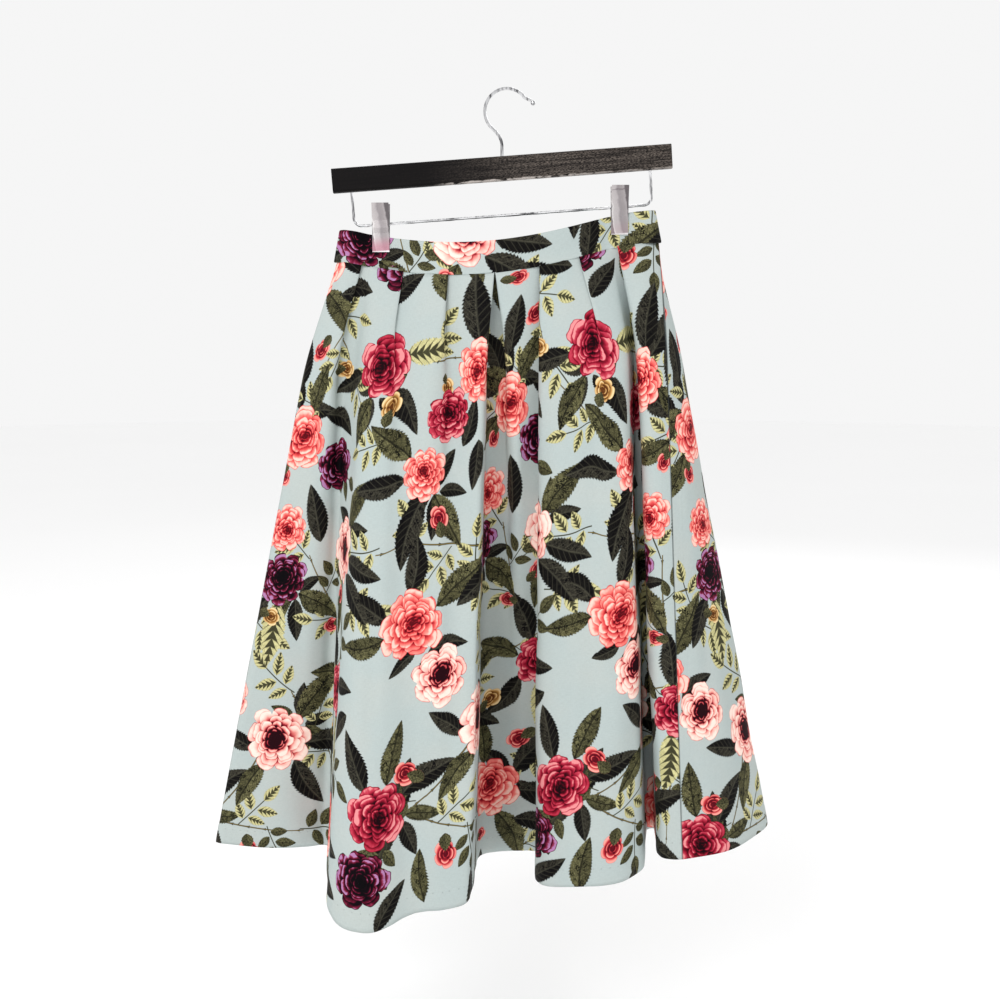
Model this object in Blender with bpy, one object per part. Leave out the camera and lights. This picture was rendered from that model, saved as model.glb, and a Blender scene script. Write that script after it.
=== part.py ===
"""A pleated a-line skirt, hung by two clips from a wooden bar hanger.

Metres, +Z up. The front of the skirt faces -Y, and +X is to its right as seen from the front.
The origin is the inside of the hook's crown, where the hanger is held.
"out" below is the distance in front of the hanger's plane, so y = -out.
"""
import math
from collections import namedtuple

import bmesh
import bpy
from mathutils import Matrix, Vector
from mathutils.geometry import intersect_line_line_2d

# ---------------------------------------------------------------- driving dimensions
GAP = 0.0003                 # clearance between neighbouring pieces
SEAM_GAP = 0.0012            # from the band down to the panels
CLOTH = 0.0012               # wall of the skirt's cloth
BAND_WALL = 0.0024           # the waistband is double cloth
BAND_HEIGHT = 0.033
BAND_SAG = 0.022             # the band's middle hangs lower than its clipped ends
BAND_SAG_START = -0.170      # x where the sag begins
BAND_SAG_SPAN = 0.290
BAND_TILT = 0.0595           # rise of the band per metre towards +X
BAND_EDGE_Z = -0.1625        # lower edge of the band at x = 0, without the sag
BAND_CUTS = (0.0, 0.35, 0.7, 1.0)  # shares of the band's height where its section is taken
BAND_FLARE = 0.7             # below this share the band leans out over the pleats
BACK_BOW = 0.85              # the back band bows less than the front one
PLEAT_PITCH = 0.0019         # from one folded layer to the next
SEAM_PROUD = 0.0006          # the pleats' front layer lies level with the band's face
OPEN_LEVEL = 0.20            # share of the drop where the pleats have opened
CORNER = 0.030               # longest cut of a rounded fold
CORNER_STEPS = (0.18, 0.82)  # points taken on each rounded fold
SEAM_STEPS = (0.18, 0.5, 0.82)     # and on a fold that the side seam runs along
LEAST_STEP = 0.0001          # least distance between neighbouring points of a wall
LEAST_MITRE = 0.5            # keeps the wall from growing thick in a sharp fold
LEVELS = (0.0, 0.035, 0.08, 0.14, 0.2, 0.28, 0.39, 0.52, 0.65, 0.77, 0.89, 1.0)

ROLL = math.radians(4.12)    # the hanger hangs with its right end up
BAR_CENTRE = Vector((-0.0049, 0.0, -0.0782))
BAR_LENGTH = 0.348
BAR_HEIGHT = 0.0245
BAR_DEPTH = 0.013
BAR_BEVEL = 0.0025
WIRE_RADIUS = 0.0016
BORE_DEPTH = 0.009
BORE_FOOT = 0.002            # left free under a wire's end in its bore
BORE_SIDES = 20
HOOK_BORE = 0.00266          # radius; the hook can turn in it

HOOK_RADIUS = 0.0226
HOOK_CENTRE_X = 0.0004
HOOK_START = math.radians(222)     # the crook's ends, from +X towards +Z
HOOK_END = math.radians(36)
HOOK_STEM_X = -0.0047
HOOK_NECK_Z = -0.054         # where the stem starts to bend
HOOK_KNEE_Z = -0.046
HOOK_TIP = Vector((0.0252, 0.0, -0.0105))
HOOK_BALL = 0.0026
HOOK_BALL_WAY = Vector((0.6, 0.0, -0.8))

ROD_RADIUS = 0.0015
ROD_HALF = 0.1535            # from the rod's middle to its uprights
ROD_SHIFT = -0.002
ROD_DROP = 0.047             # from the bar's middle line to the rod
ROD_BEND = 0.008

CLIP_WIDTH = 0.0175
CLIP_PLATE = 0.001
CLIP_BELOW = 0.028           # jaw below the rod
CLIP_ABOVE = 0.0215          # grip above the rod
CLIP_JAW_TOP = -0.009        # heights from the rod where a plate bends
CLIP_SHOULDER = -0.0035
CLIP_GRIP = 0.004
CLIP_SPREAD = 0.0045         # the grips stand apart by this much more at their tops
CLIP_SPRING = 0.0042         # radius of the spring barrel
CLIP_SPRING_LENGTH = 0.013
CLIP_SPRING_SIDES = 16
CLIPS = {"left": -0.1294, "right": 0.1163}

ZIP_REACH = 0.009            # half the width of the zip's two tapes
ZIP_SHARE = 0.8              # at most this far towards the next fold
ZIP_WALL = 0.0010
ZIP_LEVELS = (0.035, 0.08, 0.14, 0.2, 0.24)

# ---------------------------------------------------------------- tables
# Waistband, from its left fold to its right one: place of a station along the upper and the
# lower edge, and how far the front bows out of the hanger's plane there.
BandRow = namedtuple("BandRow", "x_top out_top x_low out_low")
BAND = [BandRow(*row) for row in (
    (-0.1710, 0.00135, -0.1775, 0.00135),
    (-0.1670, 0.0060, -0.1730, 0.0070),
    (-0.1560, 0.0090, -0.1610, 0.0115),
    (-0.1490, 0.0055, -0.1530, 0.0105),
    (-0.1430, 0.00135, -0.1450, 0.0080),
    (-0.1165, 0.00135, -0.1190, 0.0080),
    (-0.1060, 0.0065, -0.1090, 0.0120),
    (-0.0880, 0.0160, -0.0900, 0.0205),
    (-0.0550, 0.0250, -0.0570, 0.0285),
    (-0.0120, 0.0300, -0.0120, 0.0330),
    (0.0340, 0.0270, 0.0350, 0.0310),
    (0.0700, 0.0180, 0.0720, 0.0230),
    (0.0930, 0.0075, 0.0950, 0.0140),
    (0.1035, 0.00135, 0.1045, 0.0080),
    (0.1295, 0.00135, 0.1310, 0.0080),
    (0.1365, 0.0045, 0.1400, 0.0095),
    (0.1440, 0.0075, 0.1490, 0.0100),
    (0.1490, 0.0060, 0.1550, 0.0070),
    (0.1520, 0.00135, 0.1590, 0.00135),
)]

# Fold lines of a panel, in order along the cloth. face is +1 on the front of the band, -1 on
# its back and 0 at its side fold; layer counts the layers that lie over the cloth at the seam.
# Each line runs from the seam by way of the open level to the hem.
Fold = namedtuple("Fold", "name face layer x_seam x_open out_open x_hem out_hem z_hem")
FRONT = [Fold(*row) for row in (
    ("side_left", 0, 0, -0.1765, -0.219, 0.000, -0.329, 0.000, -0.801),
    ("side_middle", 1, 0, -0.1680, -0.197, 0.013, -0.267, 0.011, -0.803),
    ("a_start", 1, 0, -0.1600, -0.190, 0.018, -0.248, 0.013, -0.8025),
    ("a_edge", 1, 0, -0.1490, -0.182, 0.022, -0.232, 0.012, -0.802),
    ("a_turn", 1, 1, -0.1490, -0.177, 0.019, -0.212, 0.006, -0.803),
    ("a_under", 1, 1, -0.1600, -0.175, 0.013, -0.202, -0.001, -0.804),
    ("a_root", 1, 2, -0.1600, -0.169, 0.010, -0.194, 0.004, -0.804),
    ("a_rise", 1, 2, -0.1450, -0.159, 0.018, -0.189, 0.060, -0.805),
    ("b_crest", 1, 0, -0.1350, -0.147, 0.046, -0.180, 0.138, -0.813),
    ("c_edge", 1, 0, -0.1060, -0.131, 0.060, -0.164, 0.162, -0.824),
    ("c_turn", 1, 1, -0.1060, -0.118, 0.060, -0.134, 0.167, -0.827),
    ("c_under", 1, 1, -0.1240, -0.110, 0.056, -0.117, 0.158, -0.824),
    ("c_root", 1, 2, -0.1240, -0.102, 0.055, -0.104, 0.148, -0.819),
    ("c_rise", 1, 2.3, -0.1020, -0.092, 0.057, -0.091, 0.143, -0.816),
    ("c_panel", 1, 0, -0.0860, -0.083, 0.0595, -0.085, 0.142, -0.8155),
    ("d_edge", 1, 0, -0.0595, -0.074, 0.060, -0.079, 0.141, -0.815),
    ("d_turn", 1, 1, -0.0595, -0.064, 0.056, -0.067, 0.140, -0.815),
    ("d_under", 1, 1, -0.0775, -0.059, 0.049, -0.058, 0.138, -0.814),
    ("d_root", 1, 2, -0.0775, -0.052, 0.046, -0.050, 0.136, -0.813),
    ("d_rise", 1, 2, -0.0555, -0.041, 0.049, -0.044, 0.134, -0.812),
    ("d_panel", 1, 0, -0.0370, -0.033, 0.051, -0.040, 0.132, -0.810),
    ("e_edge", 1, 0, -0.0128, -0.024, 0.052, -0.037, 0.128, -0.808),
    ("e_turn", 1, 1, -0.0128, -0.0215, 0.045, -0.034, 0.100, -0.806),
    ("e_under", 1, 1, -0.0300, -0.021, 0.024, -0.033, 0.030, -0.808),
    ("e_root", 1, 2, -0.0300, -0.015, 0.018, -0.025, 0.012, -0.809),
    ("e_floor", 1, 2, 0.0060, -0.004, 0.018, -0.007, 0.006, -0.809),
    ("e_return", 1, 1, 0.0060, 0.001, 0.022, 0.006, 0.005, -0.809),
    ("e_bend", 1, 1, -0.0112, 0.001, 0.031, 0.015, 0.005, -0.809),
    ("e_far", 1, 0, -0.0112, 0.006, 0.037, 0.024, 0.006, -0.808),
    ("e_panel", 1, 0, 0.0130, 0.013, 0.036, 0.029, 0.007, -0.808),
    ("f_fall", 1, 2, 0.0296, 0.021, 0.034, 0.033, 0.008, -0.808),
    ("f_root", 1, 2, 0.0516, 0.037, 0.028, 0.039, 0.014, -0.808),
    ("f_under", 1, 1, 0.0516, 0.0385, 0.034, 0.036, 0.035, -0.809),
    ("f_turn", 1, 1, 0.0336, 0.032, 0.042, 0.030, 0.076, -0.811),
    ("f_edge", 1, 0, 0.0336, 0.035, 0.050, 0.036, 0.089, -0.811),
    ("f_panel", 1, 0, 0.0580, 0.055, 0.059, 0.042, 0.095, -0.810),
    ("g_fall", 1, 2, 0.0700, 0.073, 0.061, 0.050, 0.099, -0.809),
    ("g_root", 1, 2, 0.0920, 0.084, 0.059, 0.065, 0.105, -0.806),
    ("g_under", 1, 1, 0.0920, 0.091, 0.057, 0.080, 0.108, -0.804),
    ("g_turn", 1, 1, 0.0740, 0.098, 0.058, 0.096, 0.109, -0.803),
    ("g_edge", 1, 0, 0.0740, 0.107, 0.059, 0.117, 0.105, -0.801),
    ("g_panel", 1, 0, 0.0930, 0.116, 0.055, 0.131, 0.096, -0.798),
    ("h_crest", 1, 0, 0.1050, 0.123, 0.049, 0.142, 0.086, -0.795),
    ("h_fall", 1, 2, 0.1100, 0.1265, 0.030, 0.149, 0.040, -0.788),
    ("h_root", 1, 2, 0.1300, 0.131, 0.014, 0.152, 0.006, -0.783),
    ("h_under", 1, 1, 0.1300, 0.140, 0.015, 0.164, 0.005, -0.782),
    ("h_turn", 1, 1, 0.1140, 0.1320, 0.039, 0.157, 0.076, -0.781),
    ("h_edge", 1, 0, 0.1140, 0.1360, 0.050, 0.161, 0.091, -0.781),
    ("h_panel", 1, 0, 0.1420, 0.149, 0.0505, 0.171, 0.0945, -0.781),
    ("side_right", 0, 0, 0.1580, 0.163, 0.0440, 0.181, 0.0940, -0.781),
)]
BACK = [Fold(*row) for row in (
    ("side_right", 0, 0, 0.1580, 0.163, 0.0440, 0.181, 0.0940, -0.781),
    ("wrap_front", -1, 0, 0.1550, 0.176, 0.0320, 0.236, 0.0780, -0.779),
    ("wrap_side", -1, 0, 0.1520, 0.184, 0.0080, 0.292, 0.0100, -0.773),
    ("wrap_back", -1, 0, 0.1490, 0.177, -0.0120, 0.266, -0.0360, -0.776),
    ("k_start", -1, 0, 0.1450, 0.169, -0.0250, 0.240, -0.0480, -0.779),
    ("k_edge", -1, 0, 0.1280, 0.160, -0.035, 0.214, -0.052, -0.781),
    ("k_turn", -1, 1, 0.1280, 0.151, -0.029, 0.196, -0.030, -0.784),
    ("k_under", -1, 1, 0.1450, 0.146, -0.014, 0.186, -0.012, -0.786),
    ("k_root", -1, 2, 0.1450, 0.138, -0.012, 0.172, -0.020, -0.788),
    ("k_rise", -1, 2, 0.1240, 0.128, -0.024, 0.160, -0.076, -0.791),
    ("k_panel", -1, 0, 0.1130, 0.122, -0.043, 0.151, -0.098, -0.793),
    ("l_edge", -1, 0, 0.0900, 0.116, -0.050, 0.142, -0.118, -0.795),
    ("l_turn", -1, 1, 0.0900, 0.104, -0.054, 0.120, -0.128, -0.797),
    ("l_under", -1, 1, 0.1080, 0.094, -0.051, 0.100, -0.116, -0.799),
    ("l_root", -1, 2, 0.1080, 0.086, -0.046, 0.088, -0.088, -0.801),
    ("l_rise", -1, 2, 0.0860, 0.076, -0.046, 0.080, -0.060, -0.803),
    ("l_panel", -1, 0, 0.0680, 0.070, -0.048, 0.071, -0.052, -0.804),
    ("m_edge", -1, 0, 0.0420, 0.064, -0.050, 0.062, -0.048, -0.805),
    ("m_turn", -1, 1, 0.0420, 0.054, -0.052, 0.042, -0.062, -0.807),
    ("m_under", -1, 1, 0.0600, 0.044, -0.048, 0.030, -0.090, -0.808),
    ("m_root", -1, 2, 0.0600, 0.034, -0.046, 0.016, -0.122, -0.809),
    ("m_rise", -1, 2, 0.0380, 0.022, -0.050, -0.004, -0.136, -0.811),
    ("m_panel", -1, 0, 0.0160, 0.008, -0.051, -0.011, -0.138, -0.8115),
    ("centre_back", -1, 0, -0.0060, -0.006, -0.052, -0.018, -0.138, -0.812),
    ("n_panel", -1, 0, -0.0280, -0.020, -0.051, -0.023, -0.135, -0.812),
    ("n_fall", -1, 2, -0.0500, -0.034, -0.050, -0.028, -0.132, -0.812),
    ("n_root", -1, 2, -0.0720, -0.044, -0.046, -0.046, -0.108, -0.813),
    ("n_under", -1, 1, -0.0720, -0.052, -0.048, -0.058, -0.076, -0.813),
    ("n_turn", -1, 1, -0.0540, -0.060, -0.052, -0.076, -0.052, -0.813),
    ("n_edge", -1, 0, -0.0540, -0.070, -0.052, -0.098, -0.054, -0.813),
    ("o_start", -1, 0, -0.0800, -0.079, -0.050, -0.108, -0.066, -0.813),
    ("o_fall", -1, 2, -0.0960, -0.088, -0.048, -0.116, -0.082, -0.812),
    ("o_root", -1, 2, -0.1180, -0.098, -0.050, -0.130, -0.116, -0.812),
    ("o_under", -1, 1, -0.1180, -0.108, -0.054, -0.146, -0.136, -0.811),
    ("o_turn", -1, 1, -0.1000, -0.118, -0.055, -0.166, -0.138, -0.810),
    ("o_edge", -1, 0, -0.1000, -0.130, -0.050, -0.186, -0.118, -0.809),
    ("p_crest", -1, 0, -0.1260, -0.142, -0.042, -0.195, -0.098, -0.809),
    ("p_fall", -1, 2, -0.1380, -0.149, -0.021, -0.202, -0.078, -0.808),
    ("p_root", -1, 2, -0.1600, -0.157, -0.014, -0.214, -0.036, -0.807),
    ("p_under", -1, 1, -0.1600, -0.168, -0.014, -0.228, -0.022, -0.806),
    ("p_turn", -1, 1, -0.1420, -0.166, -0.029, -0.246, -0.032, -0.805),
    ("p_edge", -1, 0, -0.1420, -0.175, -0.036, -0.264, -0.040, -0.804),
    ("p_panel", -1, 0, -0.1600, -0.193, -0.025, -0.280, -0.033, -0.803),
    ("side_back", -1, 0, -0.1690, -0.204, -0.018, -0.296, -0.026, -0.802),
    ("side_left", 0, 0, -0.1765, -0.219, 0.000, -0.329, 0.000, -0.801),
)]


# ---------------------------------------------------------------- small helpers
def blend(start, end, share):
    return start + (end - start) * share


def along(x, stations, values):
    """Value at x, read linearly between the stations."""
    if x <= stations[0]:
        return values[0]
    for index in range(1, len(stations)):
        if x <= stations[index]:
            share = (x - stations[index - 1]) / (stations[index] - stations[index - 1])
            return blend(values[index - 1], values[index], share)
    return values[-1]


def material(name, color, roughness, metallic=0.0):
    made = bpy.data.materials.new(name)
    made.use_nodes = True
    shader = made.node_tree.nodes["Principled BSDF"]
    shader.inputs["Base Color"].default_value = (*color, 1.0)
    shader.inputs["Roughness"].default_value = roughness
    shader.inputs["Metallic"].default_value = metallic
    return made


def add_object(name, mesh, finish):
    piece = bpy.data.objects.new(name, mesh)
    bpy.context.scene.collection.objects.link(piece)
    mesh.materials.append(finish)
    return piece


def mesh_from(name, shape):
    bmesh.ops.recalc_face_normals(shape, faces=shape.faces)
    mesh = bpy.data.meshes.new(name)
    shape.to_mesh(mesh)
    shape.free()
    return mesh


def wall_mesh(name, outer, inner):
    """One closed wall between two grids of points with the same rows and columns."""
    rows = len(outer)
    columns = len(outer[0])
    shape = bmesh.new()
    skins = [[[shape.verts.new(point) for point in row] for row in grid] for grid in (outer, inner)]
    front, back = skins
    for row in range(rows - 1):
        for column in range(columns - 1):
            corners = ((row, column), (row + 1, column), (row + 1, column + 1), (row, column + 1))
            shape.faces.new([front[r][c] for r, c in corners])
            shape.faces.new([back[r][c] for r, c in reversed(corners)])
    border = [(0, column) for column in range(columns - 1)]
    border += [(row, columns - 1) for row in range(rows - 1)]
    border += [(rows - 1, column) for column in range(columns - 1, 0, -1)]
    border += [(row, 0) for row in range(rows - 1, 0, -1)]
    for place, (row, column) in enumerate(border):
        next_row, next_column = border[(place + 1) % len(border)]
        shape.faces.new((front[row][column], front[next_row][next_column],
                         back[next_row][next_column], back[row][column]))
    bmesh.ops.triangulate(shape, faces=shape.faces)
    return mesh_from(name, shape)


def corner_points(before, corner, after, steps):
    """Points on the curve that rounds off one corner."""
    cut = min(CORNER, (corner - before).length / 2, (after - corner).length / 2)
    start = corner + (before - corner).normalized() * cut
    end = corner + (after - corner).normalized() * cut
    return [blend(blend(start, corner, share), blend(corner, end, share), share)
            for share in steps]


def rounded(points):
    """The run of points with each inner corner rounded off. It starts and ends one point
    beyond the middle of its first and last inner corners."""
    result = []
    last = len(points) - 2
    for index in range(1, last + 1):
        steps = CORNER_STEPS if 1 < index < last else SEAM_STEPS
        result += corner_points(points[index - 1], points[index], points[index + 1], steps)
    return result


def offset(points, distance):
    """The run of points moved sideways, level, to the left of its own direction."""
    moved = []
    for index, point in enumerate(points):
        before = points[max(index - 1, 0)]
        after = points[min(index + 1, len(points) - 1)]
        first = Vector(((point - before).y, -(point - before).x, 0.0))
        second = Vector(((after - point).y, -(after - point).x, 0.0))
        first = first.normalized() if first.length else second.normalized()
        second = second.normalized() if second.length else first
        mean = (first + second).normalized()
        moved.append(point + mean * distance / max(mean.dot(first), LEAST_MITRE))
    return unlooped(points, moved)


def unlooped(points, moved):
    """Takes out the small loops that a moved run makes inside a tight fold."""
    for index in range(len(points) - 1):
        way = points[index + 1] - points[index]
        if (moved[index + 1] - moved[index]).dot(way) < way.length * LEAST_STEP:
            middle = (moved[index] + moved[index + 1]) / 2
            moved[index] = middle - way.normalized() * LEAST_STEP / 2
            moved[index + 1] = middle + way.normalized() * LEAST_STEP / 2
    for index in range(len(points) - 3):
        corners = moved[index:index + 4]
        crossing = intersect_line_line_2d(*[corner.xy for corner in corners])
        if crossing:
            way = (points[index + 2] - points[index + 1]).normalized() * LEAST_STEP / 2
            moved[index + 1] = Vector((*crossing, corners[1].z)) - way
            moved[index + 2] = Vector((*crossing, corners[2].z)) + way
    return moved


def trimmed(points, length):
    """The run of points with its second and last but one points drawn in."""
    result = list(points)
    result[1] = points[1] + (points[2] - points[0]).normalized() * length
    result[-2] = points[-2] + (points[-3] - points[-1]).normalized() * length
    return result


# ---------------------------------------------------------------- waistband
def band_low_z(x):
    share = min(max((x - BAND_SAG_START) / BAND_SAG_SPAN, 0.0), 1.0)
    return BAND_EDGE_Z + BAND_TILT * x - BAND_SAG * math.sin(math.pi * share)


def band_low_out(x):
    return along(x, [row.x_low for row in BAND], [row.out_low for row in BAND])


def band_run(side, share):
    """The middle line of one band, from left to right, at a share of its height."""
    bow = 1.0 if side > 0 else BACK_BOW
    flare = max((share - BAND_FLARE) / (1.0 - BAND_FLARE), 0.0)
    points = []
    for row in BAND:
        x = blend(row.x_top, row.x_low, share)
        out = blend(row.out_top, row.out_low, flare)
        if out > BAND_WALL:  # where the clips pinch the band, its walls lie together
            out *= bow
        low = band_low_z(row.x_low)
        points.append(Vector((x, -side * out, low + BAND_HEIGHT * (1.0 - share))))
    first = points[0].copy()
    last = points[-1].copy()
    for end in (first, last):
        end.y = -side * GAP / 2
    inner = [point for corner in zip(points, points[1:], points[2:])
             for point in corner_points(*corner, CORNER_STEPS)]
    return [first, points[0], *inner, points[-1], last]


def make_band(name, side, finish):
    runs = [band_run(side, share) for share in BAND_CUTS]
    outer = [offset(run, side * BAND_WALL / 2) for run in runs]
    inner = [offset(run, -side * BAND_WALL / 2) for run in runs]
    return add_object(name, wall_mesh(name, outer, inner), finish)


# ---------------------------------------------------------------- skirt panels
def seam_point(fold):
    bow = BACK_BOW if fold.face < 0 else 1.0
    out = fold.face * (band_low_out(fold.x_seam) * bow + SEAM_PROUD - fold.layer * PLEAT_PITCH)
    z = band_low_z(fold.x_seam) - SEAM_GAP
    return Vector((fold.x_seam, -out, z))


def fold_point(fold, level):
    """A point of a fold line; it is straight below the open level and eases in above it."""
    seam = seam_point(fold)
    hem = Vector((fold.x_hem, -fold.out_hem, fold.z_hem))
    opened = Vector((fold.x_open, -fold.out_open, blend(seam.z, hem.z, OPEN_LEVEL)))
    if level >= OPEN_LEVEL:
        return blend(opened, hem, (level - OPEN_LEVEL) / (1.0 - OPEN_LEVEL))
    share = level / OPEN_LEVEL
    slope = (hem - opened) * OPEN_LEVEL / (1.0 - OPEN_LEVEL)
    straight = blend(seam, opened, share)
    ease = (opened - seam) - slope
    return straight + ease * share * share * (1.0 - share)


def panel_run(folds, neighbour, level):
    """The middle line of a panel at one level; its ends meet the neighbouring panel's."""
    joined = [neighbour[-2], *folds, neighbour[1]]
    return trimmed(rounded([fold_point(fold, level) for fold in joined]), GAP / 2)


def make_panel(name, folds, neighbour, finish):
    runs = [panel_run(folds, neighbour, level) for level in LEVELS]
    outer = [offset(run, CLOTH / 2)[1:-1] for run in runs]
    inner = [offset(run, -CLOTH / 2)[1:-1] for run in runs]
    return add_object(name, wall_mesh(name, outer, inner), finish)


def zip_run(level):
    """The panels' middle line across the side seam, as far as the zip's tapes reach."""
    folds = (FRONT[-3], FRONT[-2], FRONT[-1], BACK[1], BACK[2])
    points = [fold_point(fold, level) for fold in folds]
    before = corner_points(*points[0:3], CORNER_STEPS)[-1]
    after = corner_points(*points[2:5], CORNER_STEPS)[0]
    seam = corner_points(*points[1:4], SEAM_STEPS)
    ends = []
    for start, end in ((seam[0], before), (seam[-1], after)):
        share = min(ZIP_REACH / (end - start).length, ZIP_SHARE)
        ends.append(blend(start, end, share))
    return [ends[0], *seam, ends[1]]


def make_zip(finish):
    """The closed zip's tapes, flat against the inside of the side seam."""
    runs = [zip_run(level) for level in ZIP_LEVELS]
    outer = [offset(run, -CLOTH / 2 - GAP) for run in runs]
    inner = [offset(run, -CLOTH / 2 - GAP - ZIP_WALL) for run in runs]
    return add_object("side_zip", wall_mesh("side_zip", outer, inner), finish)


# ---------------------------------------------------------------- hanger
def wire(name, points, radius, finish):
    curve = bpy.data.curves.new(name, "CURVE")
    curve.dimensions = "3D"
    curve.bevel_depth = radius
    curve.bevel_resolution = 3
    curve.use_fill_caps = True
    spline = curve.splines.new("POLY")
    spline.points.add(len(points) - 1)
    for knot, point in zip(spline.points, points):
        knot.co = (*point, 1.0)
    piece = bpy.data.objects.new(name, curve)
    bpy.context.scene.collection.objects.link(piece)
    curve.materials.append(finish)
    return piece


def arc(centre, radius, start, end, steps):
    """Points of an arc in the hanger's plane; angles from +X towards +Z."""
    angles = [blend(start, end, step / steps) for step in range(steps + 1)]
    return [centre + Vector((math.cos(a), 0.0, math.sin(a))) * radius for a in angles]


def bore_cutter(name, parent, place, radius):
    """A round cutter, half of it in the bar."""
    shape = bmesh.new()
    bmesh.ops.create_cone(shape, cap_ends=True, segments=BORE_SIDES, radius1=radius,
                          radius2=radius, depth=2 * BORE_DEPTH)
    cutter = bpy.data.objects.new(name, mesh_from(name, shape))
    bpy.context.scene.collection.objects.link(cutter)
    cutter.parent = parent
    cutter.location = place
    cutter.display_type = "WIRE"
    cutter.hide_render = True
    return cutter


def make_bar(frame, finish):
    shape = bmesh.new()
    bmesh.ops.create_cube(shape, size=1.0)
    bmesh.ops.scale(shape, vec=(BAR_LENGTH, BAR_DEPTH, BAR_HEIGHT), verts=shape.verts)
    edges = [edge for edge in shape.edges
             if abs(edge.verts[0].co.y - edge.verts[1].co.y) < GAP
             and abs(edge.verts[0].co.z - edge.verts[1].co.z) < GAP]
    bmesh.ops.bevel(shape, geom=edges, offset=BAR_BEVEL, segments=2, profile=0.5,
                    affect="EDGES")
    bar = add_object("hanger_bar", mesh_from("hanger_bar", shape), finish)
    bar.parent = frame
    top = BAR_HEIGHT / 2
    stem = frame.matrix_basis.inverted() @ Vector((HOOK_STEM_X, 0.0, BAR_CENTRE.z + top))
    cutters = [bore_cutter("bore_hook", frame, (stem.x, 0.0, top), HOOK_BORE)]
    for place in (ROD_SHIFT - ROD_HALF, ROD_SHIFT + ROD_HALF):
        cutters.append(bore_cutter("bore_rod", frame, (place, 0.0, -top), ROD_RADIUS + GAP))
    for cutter in cutters:
        cut = bar.modifiers.new("bore", "BOOLEAN")
        cut.operation = "DIFFERENCE"
        cut.solver = "EXACT"
        cut.object = cutter
    return bar


def make_hook(finish):
    centre = Vector((HOOK_CENTRE_X, 0.0, WIRE_RADIUS - HOOK_RADIUS))
    crook = arc(centre, HOOK_RADIUS, HOOK_START, HOOK_END, 22)
    foot = Vector((HOOK_STEM_X, 0.0, BAR_CENTRE.z + BAR_HEIGHT / 2 - BORE_DEPTH + BORE_FOOT))
    knee = Vector((HOOK_STEM_X, 0.0, HOOK_KNEE_Z))
    neck = Vector((HOOK_STEM_X, 0.0, HOOK_NECK_Z))
    bend = [blend(blend(neck, knee, share), blend(knee, crook[0], share), share)
            for share in (0.0, 0.25, 0.5, 0.75)]
    return wire("hanger_hook", [foot, *bend, *crook, HOOK_TIP], WIRE_RADIUS, finish)


def make_ball(finish):
    shape = bmesh.new()
    bmesh.ops.create_icosphere(shape, subdivisions=2, radius=HOOK_BALL)
    centre = HOOK_TIP + HOOK_BALL_WAY.normalized() * (HOOK_BALL + GAP)
    bmesh.ops.translate(shape, vec=centre, verts=shape.verts)
    return add_object("hook_ball", mesh_from("hook_ball", shape), finish)


def make_rod(frame, finish):
    top = -BAR_HEIGHT / 2 + BORE_DEPTH - BORE_FOOT
    low = -ROD_DROP
    left = Vector((ROD_SHIFT - ROD_HALF, 0.0, top))
    right = Vector((ROD_SHIFT + ROD_HALF, 0.0, top))
    turn_left = Vector((left.x + ROD_BEND, 0.0, low + ROD_BEND))
    turn_right = Vector((right.x - ROD_BEND, 0.0, low + ROD_BEND))
    points = [left, *arc(turn_left, ROD_BEND, math.pi, math.pi * 1.5, 6),
              *arc(turn_right, ROD_BEND, math.pi * 1.5, math.pi * 2, 6), right]
    rod = wire("hanger_rod", points, ROD_RADIUS, finish)
    rod.parent = frame
    return rod


def plate_profile():
    """Inner face of a clip plate, as heights from the rod and distances from the cloth's plane."""
    jaw = BAND_WALL + 2 * GAP
    shoulder = CLIP_SPRING + GAP
    return [(-CLIP_BELOW, jaw), (CLIP_JAW_TOP, jaw), (CLIP_SHOULDER, shoulder),
            (CLIP_GRIP, shoulder), (CLIP_ABOVE, shoulder + CLIP_SPREAD)]


def make_plate(name, side, place, finish):
    """One sheet metal plate: the jaw, the bend over the spring and the grip."""
    shape = bmesh.new()
    profile = plate_profile()
    outline = profile + [(height, out + CLIP_PLATE) for height, out in reversed(profile)]
    ends = []
    for x in (-CLIP_WIDTH / 2, CLIP_WIDTH / 2):
        ends.append([shape.verts.new((x, -side * out, height)) for height, out in outline])
    count = len(outline)
    half = count // 2
    for index in range(count):
        after = (index + 1) % count
        shape.faces.new((ends[0][index], ends[0][after], ends[1][after], ends[1][index]))
    for end in ends:
        for index in range(half - 1):
            shape.faces.new((end[index], end[index + 1], end[count - 2 - index],
                             end[count - 1 - index]))
    plate = add_object(name, mesh_from(name, shape), finish)
    plate.location = place
    return plate


def make_spring(name, place, finish):
    """The spring barrel round the rod, open all through."""
    shape = bmesh.new()
    half = CLIP_SPRING_LENGTH / 2
    hole = ROD_RADIUS + GAP
    rings = []
    for x, radius in ((-half, CLIP_SPRING), (half, CLIP_SPRING), (half, hole), (-half, hole)):
        ring = []
        for turn in range(CLIP_SPRING_SIDES):
            angle = 2 * math.pi * turn / CLIP_SPRING_SIDES
            ring.append(shape.verts.new((x, radius * math.cos(angle), radius * math.sin(angle))))
        rings.append(ring)
    for index, ring in enumerate(rings):
        after = rings[(index + 1) % len(rings)]
        for turn in range(CLIP_SPRING_SIDES):
            other = (turn + 1) % CLIP_SPRING_SIDES
            shape.faces.new((ring[turn], ring[other], after[other], after[turn]))
    spring = add_object(name, mesh_from(name, shape), finish)
    spring.location = place
    spring.rotation_euler = (0.0, -ROLL, 0.0)
    return spring


def rod_height(x):
    """World height of the rod's middle line at a world x."""
    return BAR_CENTRE.z - ROD_DROP / math.cos(ROLL) + (x - BAR_CENTRE.x) * math.tan(ROLL)


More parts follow.
